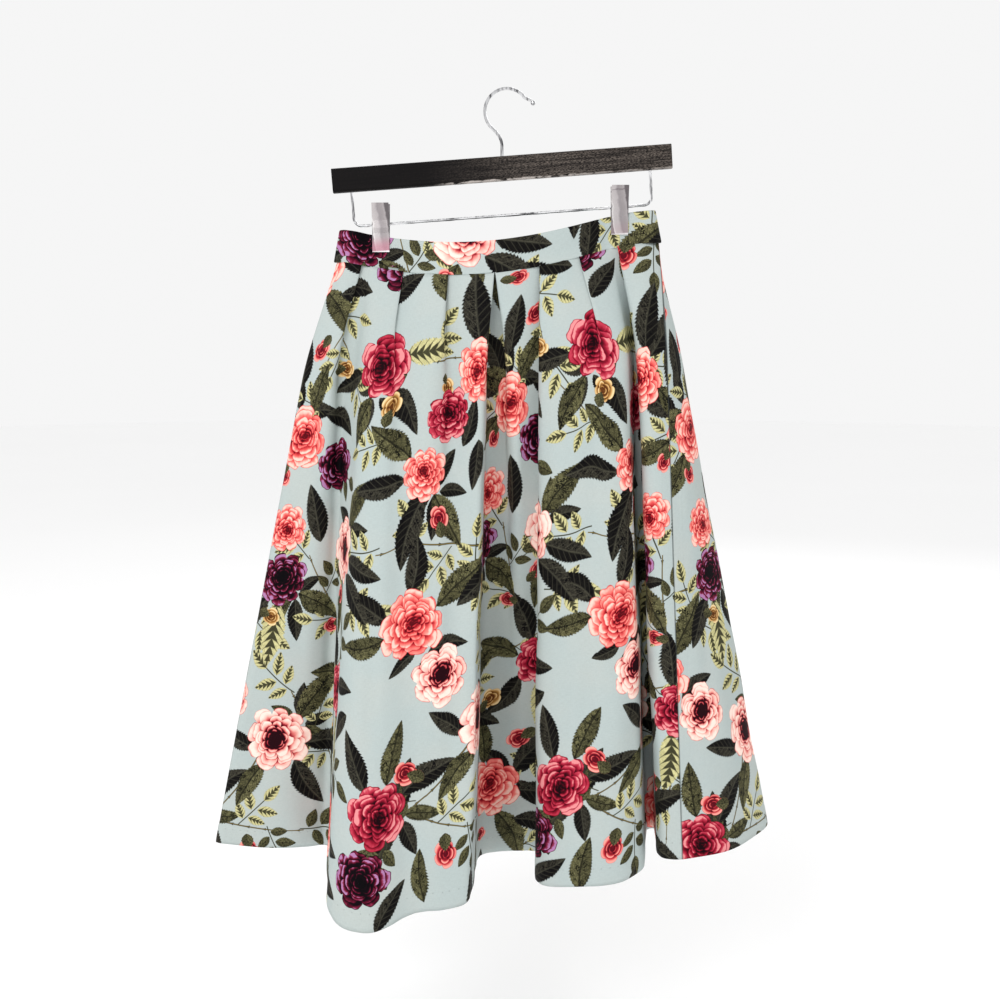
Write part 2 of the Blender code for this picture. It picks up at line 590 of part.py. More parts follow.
def main():
    for old in list(bpy.data.objects):
        bpy.data.objects.remove(old, do_unlink=True)

    cloth = material("printed_cloth", (0.56, 0.66, 0.65), 0.75)
    tape = material("zip_tape", (0.52, 0.62, 0.61), 0.8)
    wood = material("black_stained_wood", (0.02, 0.018, 0.017), 0.45)
    steel = material("bright_wire", (0.62, 0.62, 0.63), 0.25, 1.0)
    sheet_metal = material("brushed_sheet_metal", (0.62, 0.58, 0.58), 0.38, 1.0)

    make_band("waistband_front", 1, cloth)
    make_band("waistband_back", -1, cloth)
    make_panel("front_panel", FRONT, BACK, cloth)
    make_panel("back_panel", BACK, FRONT, cloth)
    make_zip(tape)

    frame = bpy.data.objects.new("hanger_frame", None)
    bpy.context.scene.collection.objects.link(frame)
    frame.matrix_basis = Matrix.Translation(BAR_CENTRE) @ Matrix.Rotation(-ROLL, 4, "Y")
    make_bar(frame, wood)
    make_hook(steel)
    make_ball(steel)
    make_rod(frame, steel)
    for hand, x in CLIPS.items():
        place = Vector((x, 0.0, rod_height(x)))
        make_plate("clip_" + hand + "_front", 1, place, sheet_metal)
        make_plate("clip_" + hand + "_rear", -1, place, sheet_metal)
        make_spring("clip_" + hand + "_spring", place, steel)


main()
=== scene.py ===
"""Looks of a pleated a-line skirt with a flower print, hung by two clips from a wooden bar hanger.

Metres, +Z up, the front of the skirt towards -Y. "out" is the distance in front of the hanger.
Cloth coordinates are metres on the flat cloth: across to the right, and up.
"""

import math
import random
from collections import namedtuple

import bpy
import numpy as np
from mathutils import Matrix, Vector, noise


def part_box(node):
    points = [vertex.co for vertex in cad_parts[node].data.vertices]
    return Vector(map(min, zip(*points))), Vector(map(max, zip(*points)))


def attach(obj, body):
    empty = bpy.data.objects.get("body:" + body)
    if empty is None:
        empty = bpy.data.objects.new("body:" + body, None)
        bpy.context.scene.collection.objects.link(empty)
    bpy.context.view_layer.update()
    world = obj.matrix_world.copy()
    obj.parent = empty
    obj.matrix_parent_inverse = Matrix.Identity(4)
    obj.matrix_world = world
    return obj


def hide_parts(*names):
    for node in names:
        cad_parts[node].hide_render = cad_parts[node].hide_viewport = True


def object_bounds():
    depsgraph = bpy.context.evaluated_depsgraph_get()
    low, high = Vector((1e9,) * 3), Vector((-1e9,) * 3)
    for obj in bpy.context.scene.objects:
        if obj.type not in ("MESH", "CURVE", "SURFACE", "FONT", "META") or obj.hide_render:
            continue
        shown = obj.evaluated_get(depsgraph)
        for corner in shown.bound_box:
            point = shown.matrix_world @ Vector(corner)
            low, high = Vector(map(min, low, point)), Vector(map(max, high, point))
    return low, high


bl_info = {
    "name": "Pleated skirt on a clip hanger",
    "version": (1, 0, 0),
    "blender": (4, 5, 0),
    "location": "3D View > Sidebar > Skirt",
    "description": "Builds the cloth, print, hanger finishes and studio of a pleated skirt",
    "category": "Object",
}

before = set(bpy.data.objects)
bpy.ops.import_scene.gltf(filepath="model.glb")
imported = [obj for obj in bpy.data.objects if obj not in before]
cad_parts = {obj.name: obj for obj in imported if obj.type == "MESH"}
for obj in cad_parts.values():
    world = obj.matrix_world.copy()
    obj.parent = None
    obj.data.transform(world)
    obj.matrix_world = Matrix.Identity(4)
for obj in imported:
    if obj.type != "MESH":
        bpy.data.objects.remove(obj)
CAD_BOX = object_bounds()

# ---------------------------------------------------------------- sizes shared with the solids
BAND_WALL = 0.0024           # the waistband is double cloth
BAND_HEIGHT = 0.033
BAND_SAG = 0.022             # the band's middle hangs lower than its clipped ends
BAND_SAG_START = -0.170
BAND_SAG_SPAN = 0.290
BAND_TILT = 0.0595           # rise of the band per metre towards +X
BAND_EDGE_Z = -0.1625
BAND_FLARE = 0.7             # below this share of its height the band leans out
BACK_BOW = 0.85              # the back band bows less than the front one
PLEAT_PITCH = 0.0019
SEAM_PROUD = 0.0006
OPEN_LEVEL = 0.20            # share of the drop where the pleats have opened
CORNER = 0.030               # longest cut of a rounded fold

# ---------------------------------------------------------------- sizes of the cloth
CLOTH_WALL = 0.0009
SEAM_TUCK = 0.0005           # the panels reach this far up into the band's seam,
SEAM_RISE = 0.0022           # and this much further for each layer of cloth that lies over them
FACE_SIZE = 0.0048           # longest side of a face of the cloth
CLOTH_LENGTH = 0.655         # from the seam to the hem, on the flat cloth
SEAM_WIDTH = 0.60            # of a panel, on the flat cloth
FRONT_HEM_WIDTH = 1.005
BACK_HEM_WIDTH = 1.135
HEM_TURN = 0.020             # depth of the turned-up hem
HEM_FULLNESS = 0.7           # how much thicker the cloth is there, as a share
ZIP_START = 0.035            # levels along the right side seam that the zip takes
ZIP_END = 0.24
ZIP_GAP = 0.0016             # the seam stands open this far over the middle of the zip
ZIP_REACH = 0.009            # how far a tape reaches past the rounded side fold
ZIP_SHARE = 0.8              # at most this far towards the next fold
TAPE_DEPTH = 0.0009          # from the middle of the cloth in to the tape
TAPE_WALL = 0.0008

# Waistband, from its left fold to its right one: place of a station along the upper and the
# lower edge, and how far the front bows out of the hanger's plane there.
BandRow = namedtuple("BandRow", "x_top out_top x_low out_low")
BAND = [BandRow(*row) for row in (
    (-0.1710, 0.00135, -0.1775, 0.00135),
    (-0.1670, 0.0060, -0.1730, 0.0070),
    (-0.1560, 0.0090, -0.1610, 0.0115),
    (-0.1490, 0.0055, -0.1530, 0.0105),
    (-0.1430, 0.00135, -0.1450, 0.0080),
    (-0.1165, 0.00135, -0.1190, 0.0080),
    (-0.1060, 0.0065, -0.1090, 0.0120),
    (-0.0880, 0.0160, -0.0900, 0.0205),
    (-0.0550, 0.0250, -0.0570, 0.0285),
    (-0.0120, 0.0300, -0.0120, 0.0330),
    (0.0340, 0.0270, 0.0350, 0.0310),
    (0.0700, 0.0180, 0.0720, 0.0230),
    (0.0930, 0.0075, 0.0950, 0.0140),
    (0.1035, 0.00135, 0.1045, 0.0080),
    (0.1295, 0.00135, 0.1310, 0.0080),
    (0.1365, 0.0045, 0.1400, 0.0095),
    (0.1440, 0.0075, 0.1490, 0.0100),
    (0.1490, 0.0060, 0.1550, 0.0070),
    (0.1520, 0.00135, 0.1590, 0.00135),
)]

# Fold lines of a panel, in order along the cloth. face is +1 on the front of the band, -1 on
# its back and 0 at its side fold; layer counts the layers that lie over the cloth at the seam.
# Each line runs from the seam by way of the open level to the hem.
Fold = namedtuple("Fold", "name face layer x_seam x_open out_open x_hem out_hem z_hem")
FRONT = [Fold(*row) for row in (
    ("side_left", 0, 0, -0.1765, -0.219, 0.000, -0.329, 0.000, -0.801),
    ("side_middle", 1, 0, -0.1680, -0.197, 0.013, -0.267, 0.011, -0.803),
    ("a_start", 1, 0, -0.1600, -0.190, 0.018, -0.248, 0.013, -0.8025),
    ("a_edge", 1, 0, -0.1490, -0.182, 0.022, -0.232, 0.012, -0.802),
    ("a_turn", 1, 1, -0.1490, -0.177, 0.019, -0.212, 0.006, -0.803),
    ("a_under", 1, 1, -0.1600, -0.175, 0.013, -0.202, -0.001, -0.804),
    ("a_root", 1, 2, -0.1600, -0.169, 0.010, -0.194, 0.004, -0.804),
    ("a_rise", 1, 2, -0.1450, -0.159, 0.018, -0.189, 0.060, -0.805),
    ("b_crest", 1, 0, -0.1350, -0.147, 0.046, -0.180, 0.138, -0.813),
    ("c_edge", 1, 0, -0.1060, -0.131, 0.060, -0.164, 0.162, -0.824),
    ("c_turn", 1, 1, -0.1060, -0.118, 0.060, -0.134, 0.167, -0.827),
    ("c_under", 1, 1, -0.1240, -0.110, 0.056, -0.117, 0.158, -0.824),
    ("c_root", 1, 2, -0.1240, -0.102, 0.055, -0.104, 0.148, -0.819),
    ("c_rise", 1, 2.3, -0.1020, -0.092, 0.057, -0.091, 0.143, -0.816),
    ("c_panel", 1, 0, -0.0860, -0.083, 0.0595, -0.085, 0.142, -0.8155),
    ("d_edge", 1, 0, -0.0595, -0.074, 0.060, -0.079, 0.141, -0.815),
    ("d_turn", 1, 1, -0.0595, -0.064, 0.056, -0.067, 0.140, -0.815),
    ("d_under", 1, 1, -0.0775, -0.059, 0.049, -0.058, 0.138, -0.814),
    ("d_root", 1, 2, -0.0775, -0.052, 0.046, -0.050, 0.136, -0.813),
    ("d_rise", 1, 2, -0.0555, -0.041, 0.049, -0.044, 0.134, -0.812),
    ("d_panel", 1, 0, -0.0370, -0.033, 0.051, -0.040, 0.132, -0.810),
    ("e_edge", 1, 0, -0.0128, -0.024, 0.052, -0.037, 0.128, -0.808),
    ("e_turn", 1, 1, -0.0128, -0.0215, 0.045, -0.034, 0.100, -0.806),
    ("e_under", 1, 1, -0.0300, -0.021, 0.024, -0.033, 0.030, -0.808),
    ("e_root", 1, 2, -0.0300, -0.015, 0.018, -0.025, 0.012, -0.809),
    ("e_floor", 1, 2, 0.0060, -0.004, 0.018, -0.007, 0.006, -0.809),
    ("e_return", 1, 1, 0.0060, 0.001, 0.022, 0.006, 0.005, -0.809),
    ("e_bend", 1, 1, -0.0112, 0.001, 0.031, 0.015, 0.005, -0.809),
    ("e_far", 1, 0, -0.0112, 0.006, 0.037, 0.024, 0.006, -0.808),
    ("e_panel", 1, 0, 0.0130, 0.013, 0.036, 0.029, 0.007, -0.808),
    ("f_fall", 1, 2, 0.0296, 0.021, 0.034, 0.033, 0.008, -0.808),
    ("f_root", 1, 2, 0.0516, 0.037, 0.028, 0.039, 0.014, -0.808),
    ("f_under", 1, 1, 0.0516, 0.0385, 0.034, 0.036, 0.035, -0.809),
    ("f_turn", 1, 1, 0.0336, 0.032, 0.042, 0.030, 0.076, -0.811),
    ("f_edge", 1, 0, 0.0336, 0.035, 0.050, 0.036, 0.089, -0.811),
    ("f_panel", 1, 0, 0.0580, 0.055, 0.059, 0.042, 0.095, -0.810),
    ("g_fall", 1, 2, 0.0700, 0.073, 0.061, 0.050, 0.099, -0.809),
    ("g_root", 1, 2, 0.0920, 0.084, 0.059, 0.065, 0.105, -0.806),
    ("g_under", 1, 1, 0.0920, 0.091, 0.057, 0.080, 0.108, -0.804),
    ("g_turn", 1, 1, 0.0740, 0.098, 0.058, 0.096, 0.109, -0.803),
    ("g_edge", 1, 0, 0.0740, 0.107, 0.059, 0.117, 0.105, -0.801),
    ("g_panel", 1, 0, 0.0930, 0.116, 0.055, 0.131, 0.096, -0.798),
    ("h_crest", 1, 0, 0.1050, 0.123, 0.049, 0.142, 0.086, -0.795),
    ("h_fall", 1, 2, 0.1100, 0.1265, 0.030, 0.149, 0.040, -0.788),
    ("h_root", 1, 2, 0.1300, 0.131, 0.014, 0.152, 0.006, -0.783),
    ("h_under", 1, 1, 0.1300, 0.140, 0.015, 0.164, 0.005, -0.782),
    ("h_turn", 1, 1, 0.1140, 0.1320, 0.039, 0.157, 0.076, -0.781),
    ("h_edge", 1, 0, 0.1140, 0.1360, 0.050, 0.161, 0.091, -0.781),
    ("h_panel", 1, 0, 0.1420, 0.149, 0.0505, 0.171, 0.0945, -0.781),
    ("side_right", 0, 0, 0.1580, 0.163, 0.0440, 0.181, 0.0940, -0.781),
)]
BACK = [Fold(*row) for row in (
    ("side_right", 0, 0, 0.1580, 0.163, 0.0440, 0.181, 0.0940, -0.781),
    ("wrap_front", -1, 0, 0.1550, 0.176, 0.0320, 0.236, 0.0780, -0.779),
    ("wrap_side", -1, 0, 0.1520, 0.184, 0.0080, 0.292, 0.0100, -0.773),
    ("wrap_back", -1, 0, 0.1490, 0.177, -0.0120, 0.266, -0.0360, -0.776),
    ("k_start", -1, 0, 0.1450, 0.169, -0.0250, 0.240, -0.0480, -0.779),
    ("k_edge", -1, 0, 0.1280, 0.160, -0.035, 0.214, -0.052, -0.781),
    ("k_turn", -1, 1, 0.1280, 0.151, -0.029, 0.196, -0.030, -0.784),
    ("k_under", -1, 1, 0.1450, 0.146, -0.014, 0.186, -0.012, -0.786),
    ("k_root", -1, 2, 0.1450, 0.138, -0.012, 0.172, -0.020, -0.788),
    ("k_rise", -1, 2, 0.1240, 0.128, -0.024, 0.160, -0.076, -0.791),
    ("k_panel", -1, 0, 0.1130, 0.122, -0.043, 0.151, -0.098, -0.793),
    ("l_edge", -1, 0, 0.0900, 0.116, -0.050, 0.142, -0.118, -0.795),
    ("l_turn", -1, 1, 0.0900, 0.104, -0.054, 0.120, -0.128, -0.797),
    ("l_under", -1, 1, 0.1080, 0.094, -0.051, 0.100, -0.116, -0.799),
    ("l_root", -1, 2, 0.1080, 0.086, -0.046, 0.088, -0.088, -0.801),
    ("l_rise", -1, 2, 0.0860, 0.076, -0.046, 0.080, -0.060, -0.803),
    ("l_panel", -1, 0, 0.0680, 0.070, -0.048, 0.071, -0.052, -0.804),
    ("m_edge", -1, 0, 0.0420, 0.064, -0.050, 0.062, -0.048, -0.805),
    ("m_turn", -1, 1, 0.0420, 0.054, -0.052, 0.042, -0.062, -0.807),
    ("m_under", -1, 1, 0.0600, 0.044, -0.048, 0.030, -0.090, -0.808),
    ("m_root", -1, 2, 0.0600, 0.034, -0.046, 0.016, -0.122, -0.809),
    ("m_rise", -1, 2, 0.0380, 0.022, -0.050, -0.004, -0.136, -0.811),
    ("m_panel", -1, 0, 0.0160, 0.008, -0.051, -0.011, -0.138, -0.8115),
    ("centre_back", -1, 0, -0.0060, -0.006, -0.052, -0.018, -0.138, -0.812),
    ("n_panel", -1, 0, -0.0280, -0.020, -0.051, -0.023, -0.135, -0.812),
    ("n_fall", -1, 2, -0.0500, -0.034, -0.050, -0.028, -0.132, -0.812),
    ("n_root", -1, 2, -0.0720, -0.044, -0.046, -0.046, -0.108, -0.813),
    ("n_under", -1, 1, -0.0720, -0.052, -0.048, -0.058, -0.076, -0.813),
    ("n_turn", -1, 1, -0.0540, -0.060, -0.052, -0.076, -0.052, -0.813),
    ("n_edge", -1, 0, -0.0540, -0.070, -0.052, -0.098, -0.054, -0.813),
    ("o_start", -1, 0, -0.0800, -0.079, -0.050, -0.108, -0.066, -0.813),
    ("o_fall", -1, 2, -0.0960, -0.088, -0.048, -0.116, -0.082, -0.812),
    ("o_root", -1, 2, -0.1180, -0.098, -0.050, -0.130, -0.116, -0.812),
    ("o_under", -1, 1, -0.1180, -0.108, -0.054, -0.146, -0.136, -0.811),
    ("o_turn", -1, 1, -0.1000, -0.118, -0.055, -0.166, -0.138, -0.810),
    ("o_edge", -1, 0, -0.1000, -0.130, -0.050, -0.186, -0.118, -0.809),
    ("p_crest", -1, 0, -0.1260, -0.142, -0.042, -0.195, -0.098, -0.809),
    ("p_fall", -1, 2, -0.1380, -0.149, -0.021, -0.202, -0.078, -0.808),
    ("p_root", -1, 2, -0.1600, -0.157, -0.014, -0.214, -0.036, -0.807),
    ("p_under", -1, 1, -0.1600, -0.168, -0.014, -0.228, -0.022, -0.806),
    ("p_turn", -1, 1, -0.1420, -0.166, -0.029, -0.246, -0.032, -0.805),
    ("p_edge", -1, 0, -0.1420, -0.175, -0.036, -0.264, -0.040, -0.804),
    ("p_panel", -1, 0, -0.1600, -0.193, -0.025, -0.280, -0.033, -0.803),
    ("side_back", -1, 0, -0.1690, -0.204, -0.018, -0.296, -0.026, -0.802),
    ("side_left", 0, 0, -0.1765, -0.219, 0.000, -0.329, 0.000, -0.801),
)]


# ---------------------------------------------------------------- shape of the cloth
def blend(start, end, share):
    return start + (end - start) * share


def smooth(share):
    share = min(max(share, 0.0), 1.0)
    return share * share * (3.0 - 2.0 * share)


def band_low_z(x):
    share = min(max((x - BAND_SAG_START) / BAND_SAG_SPAN, 0.0), 1.0)
    return BAND_EDGE_Z + BAND_TILT * x - BAND_SAG * math.sin(math.pi * share)


def band_low_out(x):
    return float(np.interp(x, [row.x_low for row in BAND], [row.out_low for row in BAND]))


def seam_point(fold):
    bow = BACK_BOW if fold.face < 0 else 1.0
    out = fold.face * (band_low_out(fold.x_seam) * bow + SEAM_PROUD - fold.layer * PLEAT_PITCH)
    rise = SEAM_TUCK + SEAM_RISE * fold.layer
    return Vector((fold.x_seam, -out, band_low_z(fold.x_seam) + rise))


def fold_point(fold, level):
    """A point of a fold line; it is straight below the open level and eases in above it."""
    seam = seam_point(fold)
    hem = Vector((fold.x_hem, -fold.out_hem, fold.z_hem))
    opened = Vector((fold.x_open, -fold.out_open,
                     blend(band_low_z(fold.x_seam), hem.z, OPEN_LEVEL)))
    if level >= OPEN_LEVEL:
        return blend(opened, hem, (level - OPEN_LEVEL) / (1.0 - OPEN_LEVEL))
    share = level / OPEN_LEVEL
    slope = (hem - opened) * OPEN_LEVEL / (1.0 - OPEN_LEVEL)
    ease = (opened - seam) - slope
    return blend(seam, opened, share) + ease * share * share * (1.0 - share)


def corner_curve(before, corner, after, shares):
    """Points on the curve that rounds off one corner."""
    cut = min(CORNER, (corner - before).length / 2, (after - corner).length / 2)
    start = corner + (before - corner).normalized() * cut
    end = corner + (after - corner).normalized() * cut
    return [blend(blend(start, corner, share), blend(corner, end, share), share)
            for share in shares]


def corner_shares(count):
    """Shares of a corner's curve, from just after its start to just before its end."""
    return [(index + 0.5) / count for index in range(count)]


def column_plan(points, first, last):
    """How many points each corner and each stretch between corners takes."""
    plan = []
    for index in range(1, len(points) - 1):
        before, corner, after = points[index - 1:index + 2]
        curve = corner_curve(before, corner, after, (0.0, 0.5, 1.0))
        turn = (curve[1] - curve[0]).length + (curve[2] - curve[1]).length
        corner_count = max(3, math.ceil(turn / FACE_SIZE))
        if index in (first, last):
            corner_count += corner_count % 2
        following = corner_curve(*points[index:index + 3], (0.0,))[0] \
            if index < len(points) - 2 else curve[2]
        plan.append((corner_count, int((following - curve[2]).length / FACE_SIZE)))
    return plan


def fine_run(points, plan):
    """A smooth run of points with the planned number of columns."""
    run = []
    for index, (corner_count, stretch_count) in enumerate(plan, start=1):
        shares = corner_shares(corner_count)
        run += corner_curve(*points[index - 1:index + 2], shares)
        if index < len(plan):
            target = corner_curve(*points[index:index + 3],
                                  (corner_shares(plan[index][0])[0],))[0]
            start = run[-1]
            run += [blend(start, target, (step + 1) / (stretch_count + 1))
                    for step in range(stretch_count)]
    return run


def panel_grid(folds, neighbour):
    """Rows of points on the middle of a panel's cloth, from the seam to the hem. The first and
    last columns lie on the side seams, halfway round the rounded side folds."""
    joined = [neighbour[-2], *folds, neighbour[1]]
    rows = round(CLOTH_LENGTH / FACE_SIZE)
    levels = [index / rows for index in range(rows + 1)]
    hem = [fold_point(fold, 1.0) for fold in joined]
    plan = column_plan(hem, 1, len(joined) - 2)
    first_half = plan[0][0] // 2
    last_half = plan[-1][0] // 2
    grid = []
    for level in levels:
        points = [fold_point(fold, level) for fold in joined]
        run = fine_run(points, plan)
        first = blend(run[first_half - 1], run[first_half], 0.5)
        last = blend(run[-last_half - 1], run[-last_half], 0.5)
        grid.append([first, *run[first_half:-last_half], last])
    return np.array(grid, dtype=float), np.array(levels)


def grid_normals(grid):
    """Outward directions of a grid whose columns run to the right as seen from outside."""
    across = np.gradient(grid, axis=1)
    down = np.gradient(grid, axis=0)
    normals = np.cross(down, across)
    length = np.linalg.norm(normals, axis=2, keepdims=True)
    return normals / np.maximum(length, 1e-12)


def lengths_along(grid):
    """How far along its row each point of a grid lies."""
    steps = np.linalg.norm(np.diff(grid, axis=1), axis=2)
    return np.concatenate([np.zeros((len(grid), 1)), np.cumsum(steps, axis=1)], axis=1)


def open_over_zip(grid, levels, edge, inner):
    """Draws the cloth's edge back from the side seam, so that the seam stands open there."""
    share = np.clip((levels - ZIP_START) / (ZIP_END - ZIP_START), 0.0, 1.0)
    way = grid[:, inner] - grid[:, edge]
    way /= np.linalg.norm(way, axis=1, keepdims=True)
    grid[:, edge] += way * (np.sin(np.pi * share) * ZIP_GAP / 2)[:, None]


def flat_places(grid, levels, seam_width, hem_width):
    """Where each point of a panel's grid lies on the flat cloth, cut flared like part of a ring."""
    along = lengths_along(grid)
    shares = along / along[:, -1:]
    fitted = np.polynomial.polynomial.polyfit(levels, shares, 2)
    shares = np.polynomial.polynomial.polyval(levels, fitted).T
    angle = (hem_width - seam_width) / CLOTH_LENGTH
    radius = seam_width / angle + levels[:, None] * CLOTH_LENGTH
    turn = (shares - 0.5) * angle
    across = radius * np.sin(turn)
    up = seam_width / angle - radius * np.cos(turn)
    return np.stack([across, up], axis=2)


# Soft creases, pressed or hanging into the cloth: where each starts and ends on the flat cloth,
# how wide it is, and how deep; a ridge has a positive depth.
Crease = namedtuple("Crease", "across_start up_start across_end up_end width depth")
FRONT_CREASES = [Crease(*row) for row in (
    (-0.350, -0.200, -0.372, -0.430, 0.014, -0.0028),
    (-0.335, -0.110, -0.305, -0.215, 0.010, -0.0020),
    (-0.290, -0.330, -0.300, -0.470, 0.011, 0.0018),
    (-0.215, -0.060, -0.200, -0.190, 0.010, -0.0022),
    (-0.179, -0.318, -0.175, -0.478, 0.013, -0.0026),
    (-0.167, -0.046, -0.169, -0.193, 0.009, -0.0018),
    (-0.114, -0.190, -0.117, -0.392, 0.010, -0.0022),
    (-0.088, -0.060, -0.105, -0.250, 0.012, -0.0020),
    (-0.070, -0.420, -0.082, -0.560, 0.012, 0.0018),
    (0.001, -0.150, 0.014, -0.311, 0.008, -0.0024),
    (0.038, -0.165, 0.049, -0.266, 0.008, 0.0022),
    (0.010, -0.250, 0.050, -0.300, 0.009, 0.0016),
    (0.017, -0.354, 0.045, -0.368, 0.006, -0.0018),
    (0.015, -0.420, 0.050, -0.400, 0.008, 0.0016),
    (0.022, -0.470, 0.030, -0.600, 0.009, -0.0020),
    (0.120, -0.150, 0.150, -0.330, 0.011, 0.0020),
    (0.150, -0.060, 0.160, -0.170, 0.009, -0.0018),
    (0.185, -0.300, 0.220, -0.550, 0.012, -0.0024),
    (0.205, -0.080, 0.220, -0.260, 0.011, 0.0018),
    (0.295, -0.090, 0.330, -0.300, 0.010, -0.0018),
)]
BACK_CREASES = [Crease(*row) for row in (
    (-0.388, -0.267, -0.473, -0.467, 0.014, -0.0026),
    (-0.370, -0.080, -0.385, -0.210, 0.010, 0.0018),
    (-0.300, -0.180, -0.330, -0.400, 0.012, -0.0020),
    (-0.200, -0.050, -0.215, -0.200, 0.010, -0.0022),
    (-0.110, -0.070, -0.120, -0.240, 0.011, 0.0020),
    (-0.060, -0.300, -0.075, -0.480, 0.013, -0.0024),
    (-0.020, -0.090, -0.010, -0.300, 0.012, -0.0022),
    (0.090, -0.060, 0.105, -0.190, 0.009, 0.0018),
    (0.130, -0.260, 0.160, -0.520, 0.013, -0.0024),
    (0.190, -0.110, 0.215, -0.280, 0.012, -0.0020),
    (0.330, -0.220, 0.390, -0.430, 0.014, 0.0022),
)]


CREASE_TAPER = 0.7           # the lower, the blunter the creases' ends
CREASE_START = 0.04          # creases and unevenness grow from this level on,
CREASE_SPAN = 0.25           # over this span of levels,
CREASE_COLUMNS = 8.0         # and over this many columns from each side seam
UNEVENNESS = 0.0020
UNEVEN_ACROSS = 26.0         # how close the cloth's slow waves are, across the folds
UNEVEN_UP = 9.0              # and along them


def crease_heights(flat, creases):
    """How far the creases move each point of the cloth outwards."""
    heights = np.zeros(flat.shape[:2])
    for crease in creases:
        start = np.array([crease.across_start, crease.up_start])
        way = np.array([crease.across_end, crease.up_end]) - start
        share = ((flat - start) @ way) / (way @ way)
        away = np.linalg.norm(flat - start - np.clip(share, 0.0, 1.0)[..., None] * way, axis=2)
        taper = np.sin(np.pi * np.clip(share * 0.9 + 0.05, 0.0, 1.0)) ** CREASE_TAPER
        heights += crease.depth * taper * np.exp(-(away / crease.width) ** 2)
    return heights


def uneven_heights(flat, seed):
    """Slow unevenness of hanging cloth, longer along the folds than across them."""
    heights = np.empty(flat.shape[:2])
    for row in range(flat.shape[0]):
        for column in range(flat.shape[1]):
            across, up = flat[row, column]
            spot = Vector((across * UNEVEN_ACROSS, up * UNEVEN_UP, seed))
            heights[row, column] = noise.noise(spot)
    return heights * UNEVENNESS


# ---------------------------------------------------------------- meshes of the cloth
def shell_mesh(name, outer, inner, flat, sewing=None):
    """A closed thin shell from two grids of points. Its UV map "cloth" holds the place on the
    flat cloth, and "sewing" the distances from the side seam and from the hem; the faces of
    the inner side and of the edges use the second material slot."""
    rows, columns = outer.shape[:2]
    points = np.concatenate([outer.reshape(-1, 3), inner.reshape(-1, 3)])
    count = rows * columns
    index = np.arange(count).reshape(rows, columns)
    quads = np.stack([index[:-1, :-1], index[1:, :-1], index[1:, 1:], index[:-1, 1:]], axis=2)
    front = quads.reshape(-1, 4)
    back = front[:, ::-1] + count
    loop = np.concatenate([index[0, :-1], index[:-1, -1], index[-1, :0:-1], index[:0:-1, 0]])
    following = np.roll(loop, -1)
    edge = np.stack([loop, following, following + count, loop + count], axis=1)
    faces = np.concatenate([front, back, edge])
    mesh = bpy.data.meshes.new(name)
    mesh.from_pydata(points.tolist(), [], faces.tolist())
    places = np.concatenate([flat.reshape(-1, 2), flat.reshape(-1, 2)])
    layer = mesh.uv_layers.new(name="cloth")
    layer.data.foreach_set("uv", places[faces.ravel()].ravel())
    side = np.zeros(len(faces), dtype=np.int32)
    side[len(front):] = 1
    mesh.polygons.foreach_set("material_index", side)
    mesh.polygons.foreach_set("use_smooth", np.ones(len(faces), dtype=bool))
    if sewing is not None:
        stored = mesh.attributes.new("sewing", "FLOAT_VECTOR", "POINT")
        stored.data.foreach_set("vector", np.concatenate([sewing, sewing]).ravel())
    mesh.update()
    return mesh


def sewing_places(grid, above_hem):
    """For each point its distance from the nearer side seam and from the hem."""
    along = lengths_along(grid)
    aside = np.minimum(along, along[:, -1:] - along)
    above = np.broadcast_to(above_hem, aside.shape)
    return np.stack([aside, above, np.zeros(aside.shape)], axis=2)


def add_piece(name, mesh):
    piece = bpy.data.objects.new(name, mesh)
    bpy.context.scene.collection.objects.link(piece)
    return piece


HEM_STEP = 0.004             # height over which the cloth thickens towards the turned-up hem
HEM_EDGE = 0.6               # thickness of its lowest edge, as a share


def panel_shell(name, folds, neighbour, hem_width, creases, seed):
    """One panel of the skirt as a thin shell with its creases."""
    grid, levels = panel_grid(folds, neighbour)
    flat = flat_places(grid, levels, SEAM_WIDTH, hem_width)
    normals = grid_normals(grid)
    free = np.array([smooth((level - CREASE_START) / CREASE_SPAN) for level in levels])[:, None]
    columns = np.arange(grid.shape[1])
    ends = np.minimum(columns, columns[::-1]) / CREASE_COLUMNS
    free = free * np.clip(ends, 0.0, 1.0)[None, :]
    heights = crease_heights(flat, creases) + uneven_heights(flat, seed)
    middle = grid + normals * (heights * free)[..., None]
    at_start = folds[1].face < 0
    open_over_zip(middle, levels, *((0, 1) if at_start else (-1, -2)))
    normals = grid_normals(middle)
    above = ((1.0 - levels) * CLOTH_LENGTH)[:, None]
    turned = np.clip((HEM_TURN + HEM_STEP - above) / HEM_STEP, 0.0, 1.0)
    half = CLOTH_WALL / 2 * (1.0 + HEM_FULLNESS * turned)
    half[-1] *= HEM_EDGE
    outer = middle + normals * half[..., None]
    inner = middle - normals * half[..., None]
    return shell_mesh(name, outer, inner, flat, sewing_places(middle, above))


BAND_ROWS = 12
BAND_CORNER_POINTS = 4
BAND_MEET = 0.0001           # half the gap between the two halves of the band, at their ends
BAND_EDGE = 0.0016           # height of the rounded edges of the folded band
EDGE_ROW = 0.3               # each rounded edge has one more row, at this share of its height
EDGE_BLUNTNESS = 0.01        # square of the thickness at its very edges, as a share of its own


